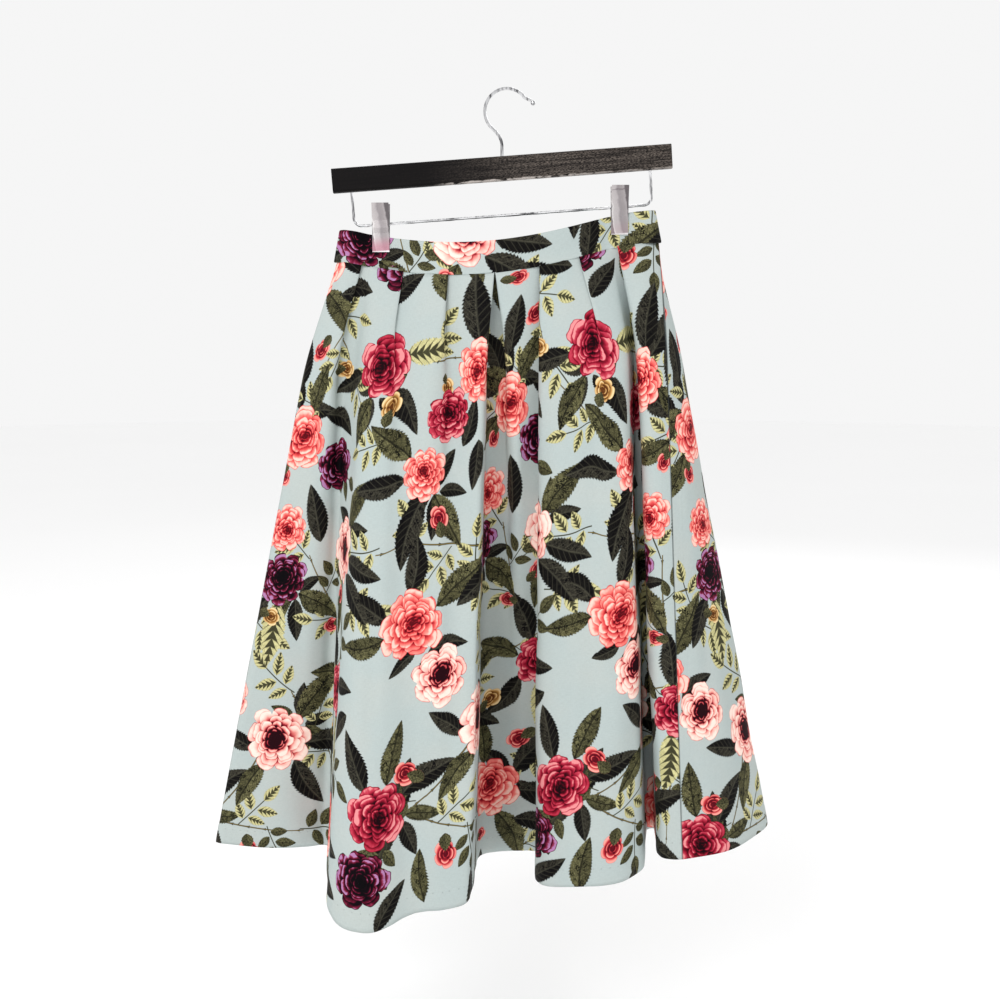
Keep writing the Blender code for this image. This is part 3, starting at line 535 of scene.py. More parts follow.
def band_run(side, share):
    """The middle line of one band, from left to right, at a share of its height."""
    bow = 1.0 if side > 0 else BACK_BOW
    flare = max((share - BAND_FLARE) / (1.0 - BAND_FLARE), 0.0)
    points = []
    for row in BAND:
        x = blend(row.x_top, row.x_low, share)
        out = blend(row.out_top, row.out_low, flare)
        if out > BAND_WALL:
            out *= bow
        low = band_low_z(row.x_low)
        points.append(Vector((x, -side * out, low + BAND_HEIGHT * (1.0 - share))))
    first = points[0].copy()
    last = points[-1].copy()
    for end in (first, last):
        end.y = -side * BAND_MEET
    points = [first, *points, last]
    run = [first]
    for before, corner, after in zip(points, points[1:], points[2:]):
        run += corner_curve(before, corner, after, corner_shares(BAND_CORNER_POINTS))
    return run + [last]


def band_shell(name, side, cut):
    """One half of the waistband, folded over at its top edge and seamed at its lower one. cut
    is where its left end lies on the flat cloth."""
    edge = BAND_EDGE / BAND_HEIGHT
    inside = np.linspace(edge, 1.0 - edge, BAND_ROWS)
    shares = np.array([0.0, edge * EDGE_ROW, *inside, 1.0 - edge * EDGE_ROW, 1.0])
    grid = np.array([band_run(side, share) for share in shares], dtype=float)
    outward = grid_normals(grid)
    if side < 0:
        outward = -outward
    distance = np.minimum(shares, 1.0 - shares) * BAND_HEIGHT / BAND_EDGE
    distance = np.clip(distance, 0.0, 1.0)
    half = BAND_WALL / 2 * np.sqrt(np.maximum(1.0 - (1.0 - distance) ** 2, EDGE_BLUNTNESS))
    outer = grid + outward * half[:, None, None]
    inner = grid - outward * half[:, None, None]
    along = lengths_along(grid)
    flat = np.empty((*grid.shape[:2], 2))
    flat[..., 0] = cut[0] + side * (along - along[:, -1:] / 2)
    flat[..., 1] = cut[1] - (shares * BAND_HEIGHT)[:, None]
    if side < 0:
        outer, inner, flat = outer[:, ::-1], inner[:, ::-1], flat[:, ::-1]
    return shell_mesh(name, outer, inner, flat, sewing_places(grid, 1.0))


ZIP_ROWS = 60
ZIP_COLUMNS = 8              # round the rounded side fold
FOLD_SIDES = (0.82, 0.18)    # where the tapes' ways end on the corners before and after it


def zip_grid():
    """Rows of points across the right side seam, as far as the zip's tapes reach."""
    folds = (FRONT[-3], FRONT[-2], FRONT[-1], BACK[1], BACK[2])
    grid = []
    for level in np.linspace(ZIP_START, ZIP_END, ZIP_ROWS):
        points = [fold_point(fold, level) for fold in folds]
        before = corner_curve(*points[0:3], FOLD_SIDES[:1])[0]
        after = corner_curve(*points[2:5], FOLD_SIDES[1:])[0]
        seam = corner_curve(*points[1:4],
                            [index / ZIP_COLUMNS for index in range(ZIP_COLUMNS + 1)])
        ends = [blend(start, end, min(ZIP_REACH / (end - start).length, ZIP_SHARE))
                for start, end in ((seam[0], before), (seam[-1], after))]
        grid.append([ends[0], *seam, ends[1]])
    return np.array(grid, dtype=float)


def zip_tape_shell(grid):
    """The two tapes of the closed zip, flat against the inside of the cloth."""
    normals = grid_normals(grid)
    along = lengths_along(grid)
    flat = np.empty((*grid.shape[:2], 2))
    flat[..., 0] = along - along[:, -1:] / 2
    flat[..., 1] = -np.linspace(ZIP_START, ZIP_END, ZIP_ROWS)[:, None] * CLOTH_LENGTH
    outer = grid - normals * TAPE_DEPTH
    inner = grid - normals * (TAPE_DEPTH + TAPE_WALL)
    return shell_mesh("zip_tape", outer, inner, flat)


TOOTH_SIZE = (0.0034, 0.0008, 0.0010)    # across the zip, along it, and thick
TOOTH_PITCH = 0.0013
TOOTH_STEP = 0.0005          # the teeth of the two tapes stand this far to either side
TOOTH_BEVEL = 0.0003
TEETH_END = 0.004            # from the last tooth to the tape's end, at least


def zip_teeth(grid):
    """The coil teeth of the closed zip, inside its tapes."""
    bpy.ops.object.select_all(action="DESELECT")
    bpy.ops.mesh.primitive_cube_add(size=1.0)
    tooth = bpy.context.object
    tooth.scale = TOOTH_SIZE
    bpy.ops.object.transform_apply(location=False, rotation=False, scale=True)
    bpy.ops.object.mode_set(mode="EDIT")
    bpy.ops.mesh.select_all(action="SELECT")
    bpy.ops.mesh.bevel(offset=TOOTH_BEVEL, segments=2)
    bpy.ops.object.mode_set(mode="OBJECT")
    bpy.ops.object.shade_smooth()
    normals = grid_normals(grid)
    column = grid.shape[1] // 2
    line = grid[:, column] - normals[:, column] * (TAPE_DEPTH + TAPE_WALL + TOOTH_SIZE[2] / 2)
    drop = np.concatenate([[0.0], np.cumsum(np.linalg.norm(np.diff(line, axis=0), axis=1))])
    copies = []
    places = np.arange(TOOTH_PITCH, drop[-1] - TEETH_END, TOOTH_PITCH)
    for number, place in enumerate(places):
        row = min(int(np.searchsorted(drop, place)), len(drop) - 1)
        spot = Vector([np.interp(place, drop, line[:, axis]) for axis in range(3)])
        out = Vector(normals[row, column])
        down = Vector(line[row] - line[row - 1]).normalized()
        across = down.cross(out).normalized()
        turn = Matrix((across, down, out)).transposed().to_4x4()
        spot += across * (TOOTH_STEP if number % 2 else -TOOTH_STEP)
        copy = tooth.copy()
        copy.data = tooth.data.copy()
        copy.data.transform(Matrix.Translation(spot) @ turn)
        bpy.context.scene.collection.objects.link(copy)
        copies.append(copy)
    bpy.data.objects.remove(tooth)
    bpy.ops.object.select_all(action="DESELECT")
    for copy in copies:
        copy.select_set(True)
    bpy.context.view_layer.objects.active = copies[0]
    bpy.ops.object.join()
    teeth = bpy.context.object
    teeth.name = "zip_teeth"
    return teeth


# ---------------------------------------------------------------- the print's repeat
REPEAT_ACROSS = 0.36
REPEAT_UP = 0.62
PRINT_SEED = 11
CLEARANCE = 0.0065           # least room between motifs of one layer: more than a face
NEARLY_ROUND = 0.9           # a motif wider than this share of its length covers a round area
MIDDLE_REACH = 0.07          # a motif is printed if its middle lies this near to the piece
ROSE, LEAF, WHORL, SPRIG, STEM, BUD = "rose", "leaf", "whorl", "sprig", "stem", "bud"

# Each kind of motif: its layers, from the one below to the one above, half its length and
# half its width as a share of that.
Kind = namedtuple("Kind", "layers half_length half_width")
KINDS = {
    STEM: Kind(("stem_low", "stem_high"), 0.070, 0.20),
    WHORL: Kind(("whorl_low",), 0.066, 1.0),
    SPRIG: Kind(("sprig_low", "sprig_high"), 0.040, 0.78),
    LEAF: Kind(("leaf_low", "leaf_middle", "leaf_high"), 0.032, 0.52),
    BUD: Kind(("bud_low",), 0.0165, 0.95),
    ROSE: Kind(("rose_low", "rose_high"), 0.0385, 1.0),
}
LAYERS = [layer for kind in KINDS.values() for layer in kind.layers]

# Colours of the roses, leaves and buds, in the order in which the shaders give them.
CORAL, CRIMSON, PLUM, BLUSH = 0, 1, 2, 3
BLACK, OLIVE, PALE = 0, 1, 2
RED_BUD, OCHRE_BUD = 0, 1

# Bouquets of one repeat: place, the way its second rose points (degrees), its size, the
# colours of its roses (None where it has one rose only), and its numbers of leaves and stems.
Bouquet = namedtuple("Bouquet", "across up turn size first second leaves stems")
BOUQUETS = [Bouquet(*row) for row in (
    (0.045, 0.045, 200, 1.00, CORAL, None, 4, 2),
    (0.190, 0.085, 250, 0.95, CRIMSON, PLUM, 3, 1),
    (0.315, 0.150, 130, 1.05, BLUSH, None, 4, 2),
    (0.085, 0.195, 20, 0.80, CRIMSON, None, 4, 2),
    (0.225, 0.265, 300, 1.00, CORAL, BLUSH, 4, 1),
    (0.345, 0.330, 80, 0.85, PLUM, CORAL, 3, 2),
    (0.095, 0.345, 150, 1.05, BLUSH, CRIMSON, 4, 1),
    (0.230, 0.420, 40, 0.80, CORAL, None, 4, 2),
    (0.025, 0.480, 320, 0.95, CORAL, PLUM, 4, 1),
    (0.165, 0.540, 100, 1.00, CRIMSON, None, 4, 2),
    (0.300, 0.520, 225, 0.90, CORAL, CRIMSON, 3, 1),
)]
# Kinds of motif that fill the open ground, how often each is tried, the share of the other
# motifs' round areas that it keeps off, and its tints.
FILLERS = ((LEAF, 160, 0.42, (BLACK, OLIVE)), (SPRIG, 240, 0.40, (PALE, PALE, OLIVE)),
           (LEAF, 400, 0.50, (BLACK, OLIVE, BLACK)), (BUD, 20, 0.8, (RED_BUD,)),
           (LEAF, 140, 0.30, (BLACK, OLIVE)), (SPRIG, 200, 0.22, (OLIVE, PALE)))

Motif = namedtuple("Motif", "kind across up angle size tint")


# Sprigs of a stem: the side they turn to, their place in half-lengths of the stem, their size.
StemSprig = namedtuple("StemSprig", "side along size")
STEM_SPRIGS = [StemSprig(*row) for row in (
    (1, 0.80, 0.85), (-1, 1.30, 0.80), (0.25, 1.95, 0.95),
)]
STEM_ROOT = 0.6              # where a stem starts, as a share of its rose's radius
SPRIG_TURN = 0.95            # from the way of the stem to that of a sprig (radians)
BUD_TURN = 1.2
BUD_AWAY = 0.030
SPRIG_TINTS = (PALE, OLIVE, PALE)
BUD_TINTS = (RED_BUD, RED_BUD, OCHRE_BUD)

SECOND_ROSE_AWAY = 1.7       # from the first rose's middle, in its radii
SECOND_ROSE_SIZE = 0.88
WHORL_REACHES = (0.75, 1.2, 1.6)     # places tried for a whorl, in radii of the rose,
WHORL_TRIES = 8                      # each in so many ways,
WHORL_STEP = 0.8                     # so far apart (radians)
LEAF_SPREAD = 0.9            # from one leaf of a bouquet to the next (radians)
LEAF_TINTS = (OLIVE, BLACK, BLACK, OLIVE, BLACK, PALE)
LEAF_STEPS = (0.0, 0.4, -0.4, 0.8)   # ways tried for a leaf, from its own (radians)
STEM_TURNS = (1.75, -1.7)    # of a bouquet's stems, from the way of its second rose (radians)


def polar(across, up, angle, reach):
    return across + math.cos(angle) * reach, up + math.sin(angle) * reach


def stem_motifs(place, reach, angle, chance):
    """A stem that leaves a rose, with sprigs along it and a bud."""
    size = chance.uniform(0.85, 1.15)
    half = KINDS[STEM].half_length * size
    sprig = KINDS[SPRIG].half_length
    root = reach * STEM_ROOT
    motifs = [Motif(STEM, *polar(*place, angle, root + half), angle, size, 0)]
    for row in STEM_SPRIGS:
        way = angle + row.side * SPRIG_TURN
        fork = polar(*place, angle, root + half * row.along)
        middle = polar(*fork, way, sprig * row.size * 0.9)
        motifs.append(Motif(SPRIG, *middle, way, row.size, chance.choice(SPRIG_TINTS)))
    way = angle - BUD_TURN
    middle = polar(*polar(*place, angle, root + half * 0.9), way, BUD_AWAY)
    motifs.append(Motif(BUD, *middle, way, chance.uniform(0.85, 1.2),
                        chance.choice(BUD_TINTS)))
    return motifs


def bouquet_motifs(bouquet, chance):
    """The motifs of one bouquet: its roses, the leaves round them, and stems with sprigs. Each
    is a list of places for it, the best one first."""
    turn = math.radians(bouquet.turn)
    place = (bouquet.across, bouquet.up)
    reach = KINDS[ROSE].half_length * bouquet.size
    wanted = [[Motif(ROSE, *place, chance.uniform(0.0, 6.0), bouquet.size, bouquet.first)]]
    if bouquet.second is not None:
        other = polar(*place, turn, reach * SECOND_ROSE_AWAY)
        wanted.append([Motif(ROSE, *other, chance.uniform(0.0, 6.0),
                             bouquet.size * SECOND_ROSE_SIZE, bouquet.second)])
    start = chance.uniform(2.2, 4.0)
    size = chance.uniform(0.85, 1.0)
    wanted.append([Motif(WHORL, *polar(*place, turn + start + step * WHORL_STEP, reach * away),
                         start, size, BLACK)
                   for away in WHORL_REACHES for step in range(WHORL_TRIES)])
    for index in range(bouquet.leaves):
        angle = turn + math.pi + (index - (bouquet.leaves - 1) / 2) * LEAF_SPREAD
        angle += chance.uniform(-0.2, 0.2)
        size = chance.uniform(0.9, 1.2)
        tint = LEAF_TINTS[(index + bouquet.first * 2) % len(LEAF_TINTS)]
        away = reach * 0.8 + KINDS[LEAF].half_length * size
        wanted.append([Motif(LEAF, *polar(*place, angle + step, away), angle + step * 1.1, size,
                             tint) for step in LEAF_STEPS])
    for index in range(bouquet.stems):
        angle = turn + STEM_TURNS[index] + chance.uniform(-0.2, 0.2)
        wanted += [[motif] for motif in stem_motifs(place, reach, angle, chance)]
    return wanted


def motif_discs(motif):
    """Round areas that cover a motif: places and radii on the flat cloth."""
    kind = KINDS[motif.kind]
    half = kind.half_length * motif.size
    radius = half * kind.half_width
    if kind.half_width > NEARLY_ROUND:
        return [(motif.across, motif.up, half)]
    spread = half - radius * 0.8
    count = max(2, math.ceil(spread / radius)) + 1
    return [(*polar(motif.across, motif.up, motif.angle, blend(-spread, spread, i / (count - 1))),
             radius) for i in range(count)]


def wrapped(distance, repeat):
    return distance - repeat * round(distance / repeat)


def clashes(discs, others):
    for across, up, radius in discs:
        for other_across, other_up, other_radius in others:
            room = math.hypot(wrapped(across - other_across, REPEAT_ACROSS),
                              wrapped(up - other_up, REPEAT_UP))
            if room < radius + other_radius + CLEARANCE:
                return True
    return False


def find_room(motif, placed, taken):
    """Puts a motif into the first layer of its kind where it meets no other, if there is one."""
    discs = motif_discs(motif)
    for layer in KINDS[motif.kind].layers:
        if not clashes(discs, taken[layer]):
            placed[layer].append(motif)
            taken[layer] += discs
            return True
    return False


def filler_motif(kind, tints, chance):
    return Motif(kind, chance.uniform(0, REPEAT_ACROSS), chance.uniform(0, REPEAT_UP),
                 chance.uniform(0, 6.28), chance.uniform(0.8, 1.1), chance.choice(tints))


def printed_repeat():
    """The motifs of one repeat, by layer: the bouquets, then small motifs on the open ground."""
    chance = random.Random(PRINT_SEED)
    placed = {layer: [] for layer in LAYERS}
    taken = {layer: [] for layer in LAYERS}
    for bouquet in BOUQUETS:
        for places in bouquet_motifs(bouquet, chance):
            any(find_room(motif, placed, taken) for motif in places)
    for kind, tries, nearness, tints in FILLERS:
        for motif in [filler_motif(kind, tints, chance) for _ in range(tries)]:
            covered = [(across, up, radius * nearness - CLEARANCE)
                       for discs in taken.values() for across, up, radius in discs]
            if not clashes(motif_discs(motif), covered):
                find_room(motif, placed, taken)
    return placed


CHANCE_STEPS = 40
SPARED_STEPS = 4             # at either end
GOLDEN_SHARE = 0.381966      # spreads the numbers of motifs evenly over the steps


def chance_share(number):
    """A share between 0.1 and 0.9 that stands for a motif, in the middle of one of its steps."""
    steps = CHANCE_STEPS - 2 * SPARED_STEPS
    return (SPARED_STEPS + int(steps * (number * GOLDEN_SHARE % 1.0)) + 0.5) / CHANCE_STEPS


def print_motifs(mesh, repeat):
    """Stores on the corners of the mesh, for each layer of the print, the place within the
    motif there (along it, across it) and a number: its tint, plus a chance share, plus 1. It
    is 0 where the layer is empty."""
    corner_count = len(mesh.loops)
    uv = np.empty(corner_count * 2)
    mesh.uv_layers["cloth"].data.foreach_get("uv", uv)
    uv = uv.reshape(-1, 2)
    starts = np.empty(len(mesh.polygons), dtype=np.int32)
    mesh.polygons.foreach_get("loop_start", starts)
    centres = (uv[starts] + uv[starts + 1] + uv[starts + 2] + uv[starts + 3]) / 4
    low = centres.min(axis=0) - MIDDLE_REACH
    high = centres.max(axis=0) + MIDDLE_REACH
    tiles = [(a, b) for a in range(math.floor(low[0] / REPEAT_ACROSS),
                                   math.ceil(high[0] / REPEAT_ACROSS) + 1)
             for b in range(math.floor(low[1] / REPEAT_UP) - 1,
                            math.ceil(high[1] / REPEAT_UP) + 1)]
    margin = CLEARANCE * 0.5
    for layer, motifs in repeat.items():
        values = np.zeros((corner_count, 3), dtype=np.float32)
        for number, motif in enumerate(motifs):
            kind = KINDS[motif.kind]
            half = kind.half_length * motif.size
            axis = np.array([math.cos(motif.angle), math.sin(motif.angle)])
            side = np.array([-axis[1], axis[0]])
            for tile_across, tile_up in tiles:
                middle = np.array([motif.across + tile_across * REPEAT_ACROSS,
                                   motif.up + tile_up * REPEAT_UP])
                if (middle < low).any() or (middle > high).any():
                    continue
                local = centres - middle
                near = (np.abs(local @ axis) < half + margin) \
                    & (np.abs(local @ side) < half * kind.half_width + margin)
                faces = np.nonzero(near)[0]
                if not len(faces):
                    continue
                corners = (starts[faces][:, None] + np.arange(4)).ravel()
                away = (uv[corners] - middle) / half
                values[corners, 0] = away @ axis
                values[corners, 1] = away @ side
                values[corners, 2] = 1.0 + motif.tint + chance_share(number)
        layer_data = mesh.attributes.new(layer, "FLOAT_VECTOR", "CORNER")
        layer_data.data.foreach_set("vector", values.ravel())


# ---------------------------------------------------------------- shader nodes
def ink(*screen):
    """A colour given as red, green and blue from 0 to 255 on a screen, for a shader."""
    return (*[share / 12.92 if share <= 0.04045 else ((share + 0.055) / 1.055) ** 2.4
              for share in (value / 255 for value in screen)], 1.0)


class Net:
    """Adds nodes to one tree; values that are sockets are linked, others are set."""

    # The Mix node's sockets for each kind of value: factor, first, second and result.
    MIX_SOCKETS = {"FLOAT": (0, 2, 3, 0), "VECTOR": (0, 4, 5, 1), "RGBA": (0, 6, 7, 2)}

    def __init__(self, tree):
        self.tree = tree

    def feed(self, socket, value):
        if isinstance(value, bpy.types.NodeSocket):
            self.tree.links.new(value, socket)
        else:
            socket.default_value = value

    def add(self, kind, *values, **settings):
        node = self.tree.nodes.new("ShaderNode" + kind)
        for name, value in settings.items():
            setattr(node, name, value)
        for socket, value in zip(node.inputs, values):
            self.feed(socket, value)
        return node

    def math(self, operation, *values):
        return self.add("Math", *values, operation=operation).outputs[0]

    def plus(self, value, *others):
        for other in others:
            value = self.math("ADD", value, other)
        return value

    def minus(self, value, other):
        return self.math("SUBTRACT", value, other)

    def times(self, value, *others):
        for other in others:
            value = self.math("MULTIPLY", value, other)
        return value

    def over(self, value, other):
        return self.math("DIVIDE", value, other)

    def line(self, value, slope, start):
        """The value times a slope, plus a start."""
        return self.math("MULTIPLY_ADD", value, slope, start)

    def absolute(self, value):
        return self.math("ABSOLUTE", value)

    def whole(self, value):
        return self.math("FLOOR", value)

    def larger(self, value, other):
        return self.math("MAXIMUM", value, other)

    def above(self, value, limit):
        return self.math("GREATER_THAN", value, limit)

    def below(self, value, limit):
        return self.math("LESS_THAN", value, limit)

    def swing(self, value):
        """0 at whole numbers, and 1 halfway between them."""
        return self.times(self.math("PINGPONG", value, 0.5), 2.0)

    def vector(self, operation, *values):
        return self.add("VectorMath", *values, operation=operation).outputs["Vector"]

    def length(self, vector):
        return self.add("VectorMath", vector, operation="LENGTH").outputs["Value"]

    def scaled(self, vector, factor):
        node = self.add("VectorMath", vector, operation="SCALE")
        self.feed(node.inputs["Scale"], factor)
        return node.outputs["Vector"]

    def stretched(self, vector, scale):
        """The vector with its parts multiplied by scale."""
        return self.vector("MULTIPLY", vector, scale)

    def turned(self, vector, axis, angle, centre=(0.0, 0.0, 0.0)):
        node = self.add("VectorRotate", vector, centre, rotation_type=axis + "_AXIS")
        node.inputs["Angle"].default_value = angle
        return node.outputs[0]

    def split(self, vector):
        return self.add("SeparateXYZ", vector).outputs

    def join(self, x, y, z=0.0):
        return self.add("CombineXYZ", x, y, z).outputs[0]

    def round_share(self, arm):
        """How far round its middle an arm points, from 0 to 1."""
        across, up, _ = self.split(arm)
        return self.plus(self.over(self.math("ARCTAN2", up, across), math.tau), 0.5)

    def ease(self, value, low, high, start=0.0, end=1.0):
        return self.add("MapRange", value, low, high, start, end,
                        interpolation_type="SMOOTHSTEP").outputs["Result"]

    def mixed(self, kind, share, first, second, **settings):
        *places, result = self.MIX_SOCKETS[kind]
        node = self.add("Mix", data_type=kind, **settings)
        for place, value in zip(places, (share, first, second)):
            self.feed(node.inputs[place], value)
        return node.outputs[result]

    def tint(self, share, first, second, blend_type="MIX"):
        return self.mixed("RGBA", share, first, second, blend_type=blend_type)

    def picked(self, number, colour, *others):
        """The colour that a whole number picks, counted from 0."""
        for place, other in enumerate(others, start=1):
            colour = self.tint(self.above(number, place - 0.5), colour, other)
        return colour

    def ramp(self, value, *stops):
        """A colour ramp. Each stop is its place, and its red, green and blue on a screen."""
        node = self.add("ValToRGB", value)
        elements = node.color_ramp.elements
        for index, (place, *screen) in enumerate(stops):
            stop = elements[index] if index < 2 else elements.new(place)
            stop.position = place
            stop.color = ink(*screen)
        return node.outputs["Color"]

    def noise(self, vector, scale, detail=2.0, roughness=0.5, output="Fac"):
        node = self.add("TexNoise", vector)
        self.feed(node.inputs["Scale"], scale)
        self.feed(node.inputs["Detail"], detail)
        self.feed(node.inputs["Roughness"], roughness)
        return node.outputs[output]

    def streaks(self, vector, closeness, detail, roughness=0.5):
        """Noise drawn out into streaks: how many patches to the metre it has along each axis."""
        return self.noise(self.stretched(vector, closeness), 1.0, detail, roughness)

    def dice(self, number, output):
        """A random value or colour for each number."""
        node = self.add("TexWhiteNoise", noise_dimensions="1D")
        self.feed(node.inputs["W"], number)
        return node.outputs[output]

    def object_place(self):
        """The place on the piece."""
        return self.add("TexCoord").outputs["Object"]

    def cloth_place(self):
        """The place on the flat cloth."""
        return self.add("UVMap", uv_map="cloth").outputs["UV"]

    def use(self, group, **values):
        node = self.tree.nodes.new("ShaderNodeGroup")
        node.node_tree = group
        for name, value in values.items():
            self.feed(node.inputs[name], value)
        return node.outputs


class Group(Net):
    """A node group in the making: a net with named inputs and outputs."""

    def __init__(self, name, inputs, outputs):
        super().__init__(bpy.data.node_groups.new(name, "ShaderNodeTree"))
        for way, sockets in (("INPUT", inputs), ("OUTPUT", outputs)):
            for label, kind in sockets.items():
                self.tree.interface.new_socket(label, in_out=way,
                                               socket_type="NodeSocket" + kind)
        self.given = self.tree.nodes.new("NodeGroupInput").outputs
        self.made = self.tree.nodes.new("NodeGroupOutput").inputs

    def closed(self, **results):
        """Feeds the outputs, and gives the finished tree."""
        for label, value in results.items():
            self.feed(self.made[label], value)
        return self.tree


THREADS = 1500.0             # threads per metre, both ways
PRESSED_SEAM = 0.011         # from a side seam to the edge of its pressed allowance
PRICK_SPACING = 0.008        # of the hem's blind stitches
PRICK_INSET = 0.002          # from the upper edge of the turned-up hem down to them


def weave_group():
    """Woven threads: a height for bumps, and a tone near 1 for colours."""
    net = Group("weave", {"Place": "Vector", "Threads": "Float"},
                {"Height": "Float", "Tone": "Float"})
    place = net.scaled(net.given["Place"], net.given["Threads"])
    warp = net.streaks(place, (1.0, 0.16, 1.0), 1.0)
    weft = net.streaks(place, (0.12, 1.0, 1.0), 1.0)
    height = net.plus(net.times(warp, 0.45), net.times(weft, 0.55))
    return net.closed(Height=height, Tone=net.ease(height, 0.3, 0.7, 0.955, 1.045))


def sewing_group():
    """Seams and the hem: a height, a mask of painted shade for the seam grooves and the hem's
    stitch dimples, and where the hem is turned.
    """
    net = Group("sewing", {"Place": "Vector"},
                {"Height": "Float", "Dark": "Float", "Turned": "Float"})
    stored = net.add("Attribute", attribute_name="sewing").outputs["Vector"]
    aside, above_hem, _ = net.split(stored)
    groove = net.ease(aside, 0.0002, 0.0012, 1.0, 0.0)
    pressed = net.ease(net.absolute(net.minus(aside, PRESSED_SEAM)), 0.0, 0.002, 0.25, 0.0)
    turned = net.ease(above_hem, HEM_TURN - 0.0006, HEM_TURN + 0.0006, 1.0, 0.0)
    stitch_line = net.absolute(net.minus(above_hem, HEM_TURN - PRICK_INSET))
    number = net.over(net.split(net.given["Place"])["X"], PRICK_SPACING)
    to_stitch = net.times(net.math("PINGPONG", number, 0.5), PRICK_SPACING)
    prick = net.ease(net.length(net.join(stitch_line, to_stitch)), 0.0003, 0.0009, 1.0, 0.0)
    dips = net.larger(groove, net.times(prick, 0.7))
    # The seam grooves and stitch dimples are darkened in colour: painted shade.
    return net.closed(Height=net.minus(net.line(turned, 0.35, pressed), dips),
                      Dark=net.larger(groove, net.times(prick, 0.35)), Turned=turned)


class MotifGroup(Group):
    """The node group of one kind of motif. From what a layer of the print stores at a place it
    has the place within the motif (along, across), whether a motif lies there, the number of
    its tint (hue), and its chance share."""

    def __init__(self, name):
        super().__init__(name, {"Place": "Vector"}, {"Color": "Color", "Mask": "Float"})
        self.along, self.across, stored = self.split(self.given["Place"])
        self.there = self.above(stored, 0.5)
        number = self.minus(stored, 1.0)
        self.hue = self.whole(number)
        self.chance = self.math("FRACT", number)

    def bow(self, most):
        """How far this motif bends to one side, by chance."""
        return self.times(self.minus(self.chance, 0.5), most)

    def bent(self, along, across, bow):
        """The place across a motif that is bent like a bow."""
        return self.minus(across, self.times(along, along, bow))

    def drawn(self, colour, mask):
        return self.closed(Color=colour, Mask=self.times(mask, self.there))


def petal_ring_group():
    """One ring of petals laid over a flower: the flower's shade with the ring on it."""
    net = Group("petal ring", dict.fromkeys(
        ("Shade", "Distance", "Turn", "Radius", "Petals", "Offset"), "Float"),
        {"Shade": "Float", "Inside": "Float"})
    given = net.given
    distance, radius = given["Distance"], given["Radius"]
    petal = net.line(given["Turn"], given["Petals"], given["Offset"])
    joint = net.minus(1.0, net.swing(petal))
    number = net.math("FLOORED_MODULO", net.whole(petal), given["Petals"])
    chance = net.minus(net.dice(net.line(radius, 31.7, number), "Value"), 0.5)
    notch = net.times(net.math("POWER", joint, 3.0), -0.20)
    edge = net.times(radius, net.plus(net.line(chance, 0.16, 1.0), notch))
    inside = net.ease(distance, net.minus(edge, 0.02), edge, 1.0, 0.0)
    rise = net.ease(distance, net.times(radius, 0.60), net.times(edge, 0.95), 0.04, 0.94)
    crease = net.times(net.math("POWER", joint, 5.0), -0.42)
    outline = net.ease(distance, net.minus(edge, 0.045), net.minus(edge, 0.008), 0.0, -0.55)
    shade = net.line(chance, 0.34, net.plus(rise, crease, outline))
    return net.closed(Shade=net.mixed("FLOAT", inside, given["Shade"], shade), Inside=inside)


def petal_rings(net, ring, rings):
    """Lays rings of petals over each other: the shade that they give, and the mask of the
    outermost ring, the first. Each ring is given as its field (distance from its middle and
    share round it), its radius, its number of petals and its turn."""
    shade, mask = 0.3, None
    for (distance, turn), radius, petals, offset in rings:
        laid = net.use(ring, Shade=shade, Distance=distance, Turn=turn, Radius=radius,
                       Petals=petals, Offset=net.line(net.chance, 3.0, offset))
        shade = laid["Shade"]
        mask = laid["Inside"] if mask is None else mask
    return shade, mask


# Rings of a rose from the outermost in: radius, number of petals, turn, and which of the rose's
# two middles the ring lies round.
RoseRing = namedtuple("RoseRing", "radius petals turn middle")
ROSE_RINGS = [RoseRing(*row) for row in (
    (0.93, 7, 0.10, 0), (0.80, 6, 0.45, 0), (0.66, 7, 0.80, 0), (0.53, 6, 0.25, 1),
    (0.40, 5, 0.60, 1), (0.27, 4, 0.05, 1), (0.14, 3, 0.40, 1),
)]
ROSE_MIDDLES = ((0.0, 0.0, 0.0), (0.05, -0.06, 0.0))

# Ramps from shade to colour, one for each tint: the shade, and red, green and blue on a screen.
ROSE_INKS = (
    ((0.0, 84, 8, 18), (0.24, 176, 34, 44), (0.54, 222, 84, 82), (0.80, 238, 132, 122),
     (1.0, 248, 200, 186)),
    ((0.0, 22, 2, 8), (0.32, 84, 6, 22), (0.62, 146, 20, 44), (0.88, 190, 58, 78),
     (1.0, 226, 140, 142)),
    ((0.0, 5, 3, 6), (0.58, 18, 4, 12), (0.80, 86, 12, 36), (0.93, 134, 44, 72),
     (1.0, 170, 120, 164)),
    ((0.0, 34, 4, 12), (0.22, 150, 28, 44), (0.42, 218, 112, 108), (0.68, 238, 178, 166),
     (1.0, 248, 222, 210)),
)
BUD_INKS = (
    ((0.0, 88, 10, 24), (0.45, 190, 46, 56), (1.0, 246, 160, 148)),
    ((0.0, 88, 48, 20), (0.5, 190, 140, 76), (1.0, 232, 208, 158)),
)
BUD_RINGS = ((0.74, 5.0), (0.50, 4.0), (0.26, 3.0))       # radius and number of petals


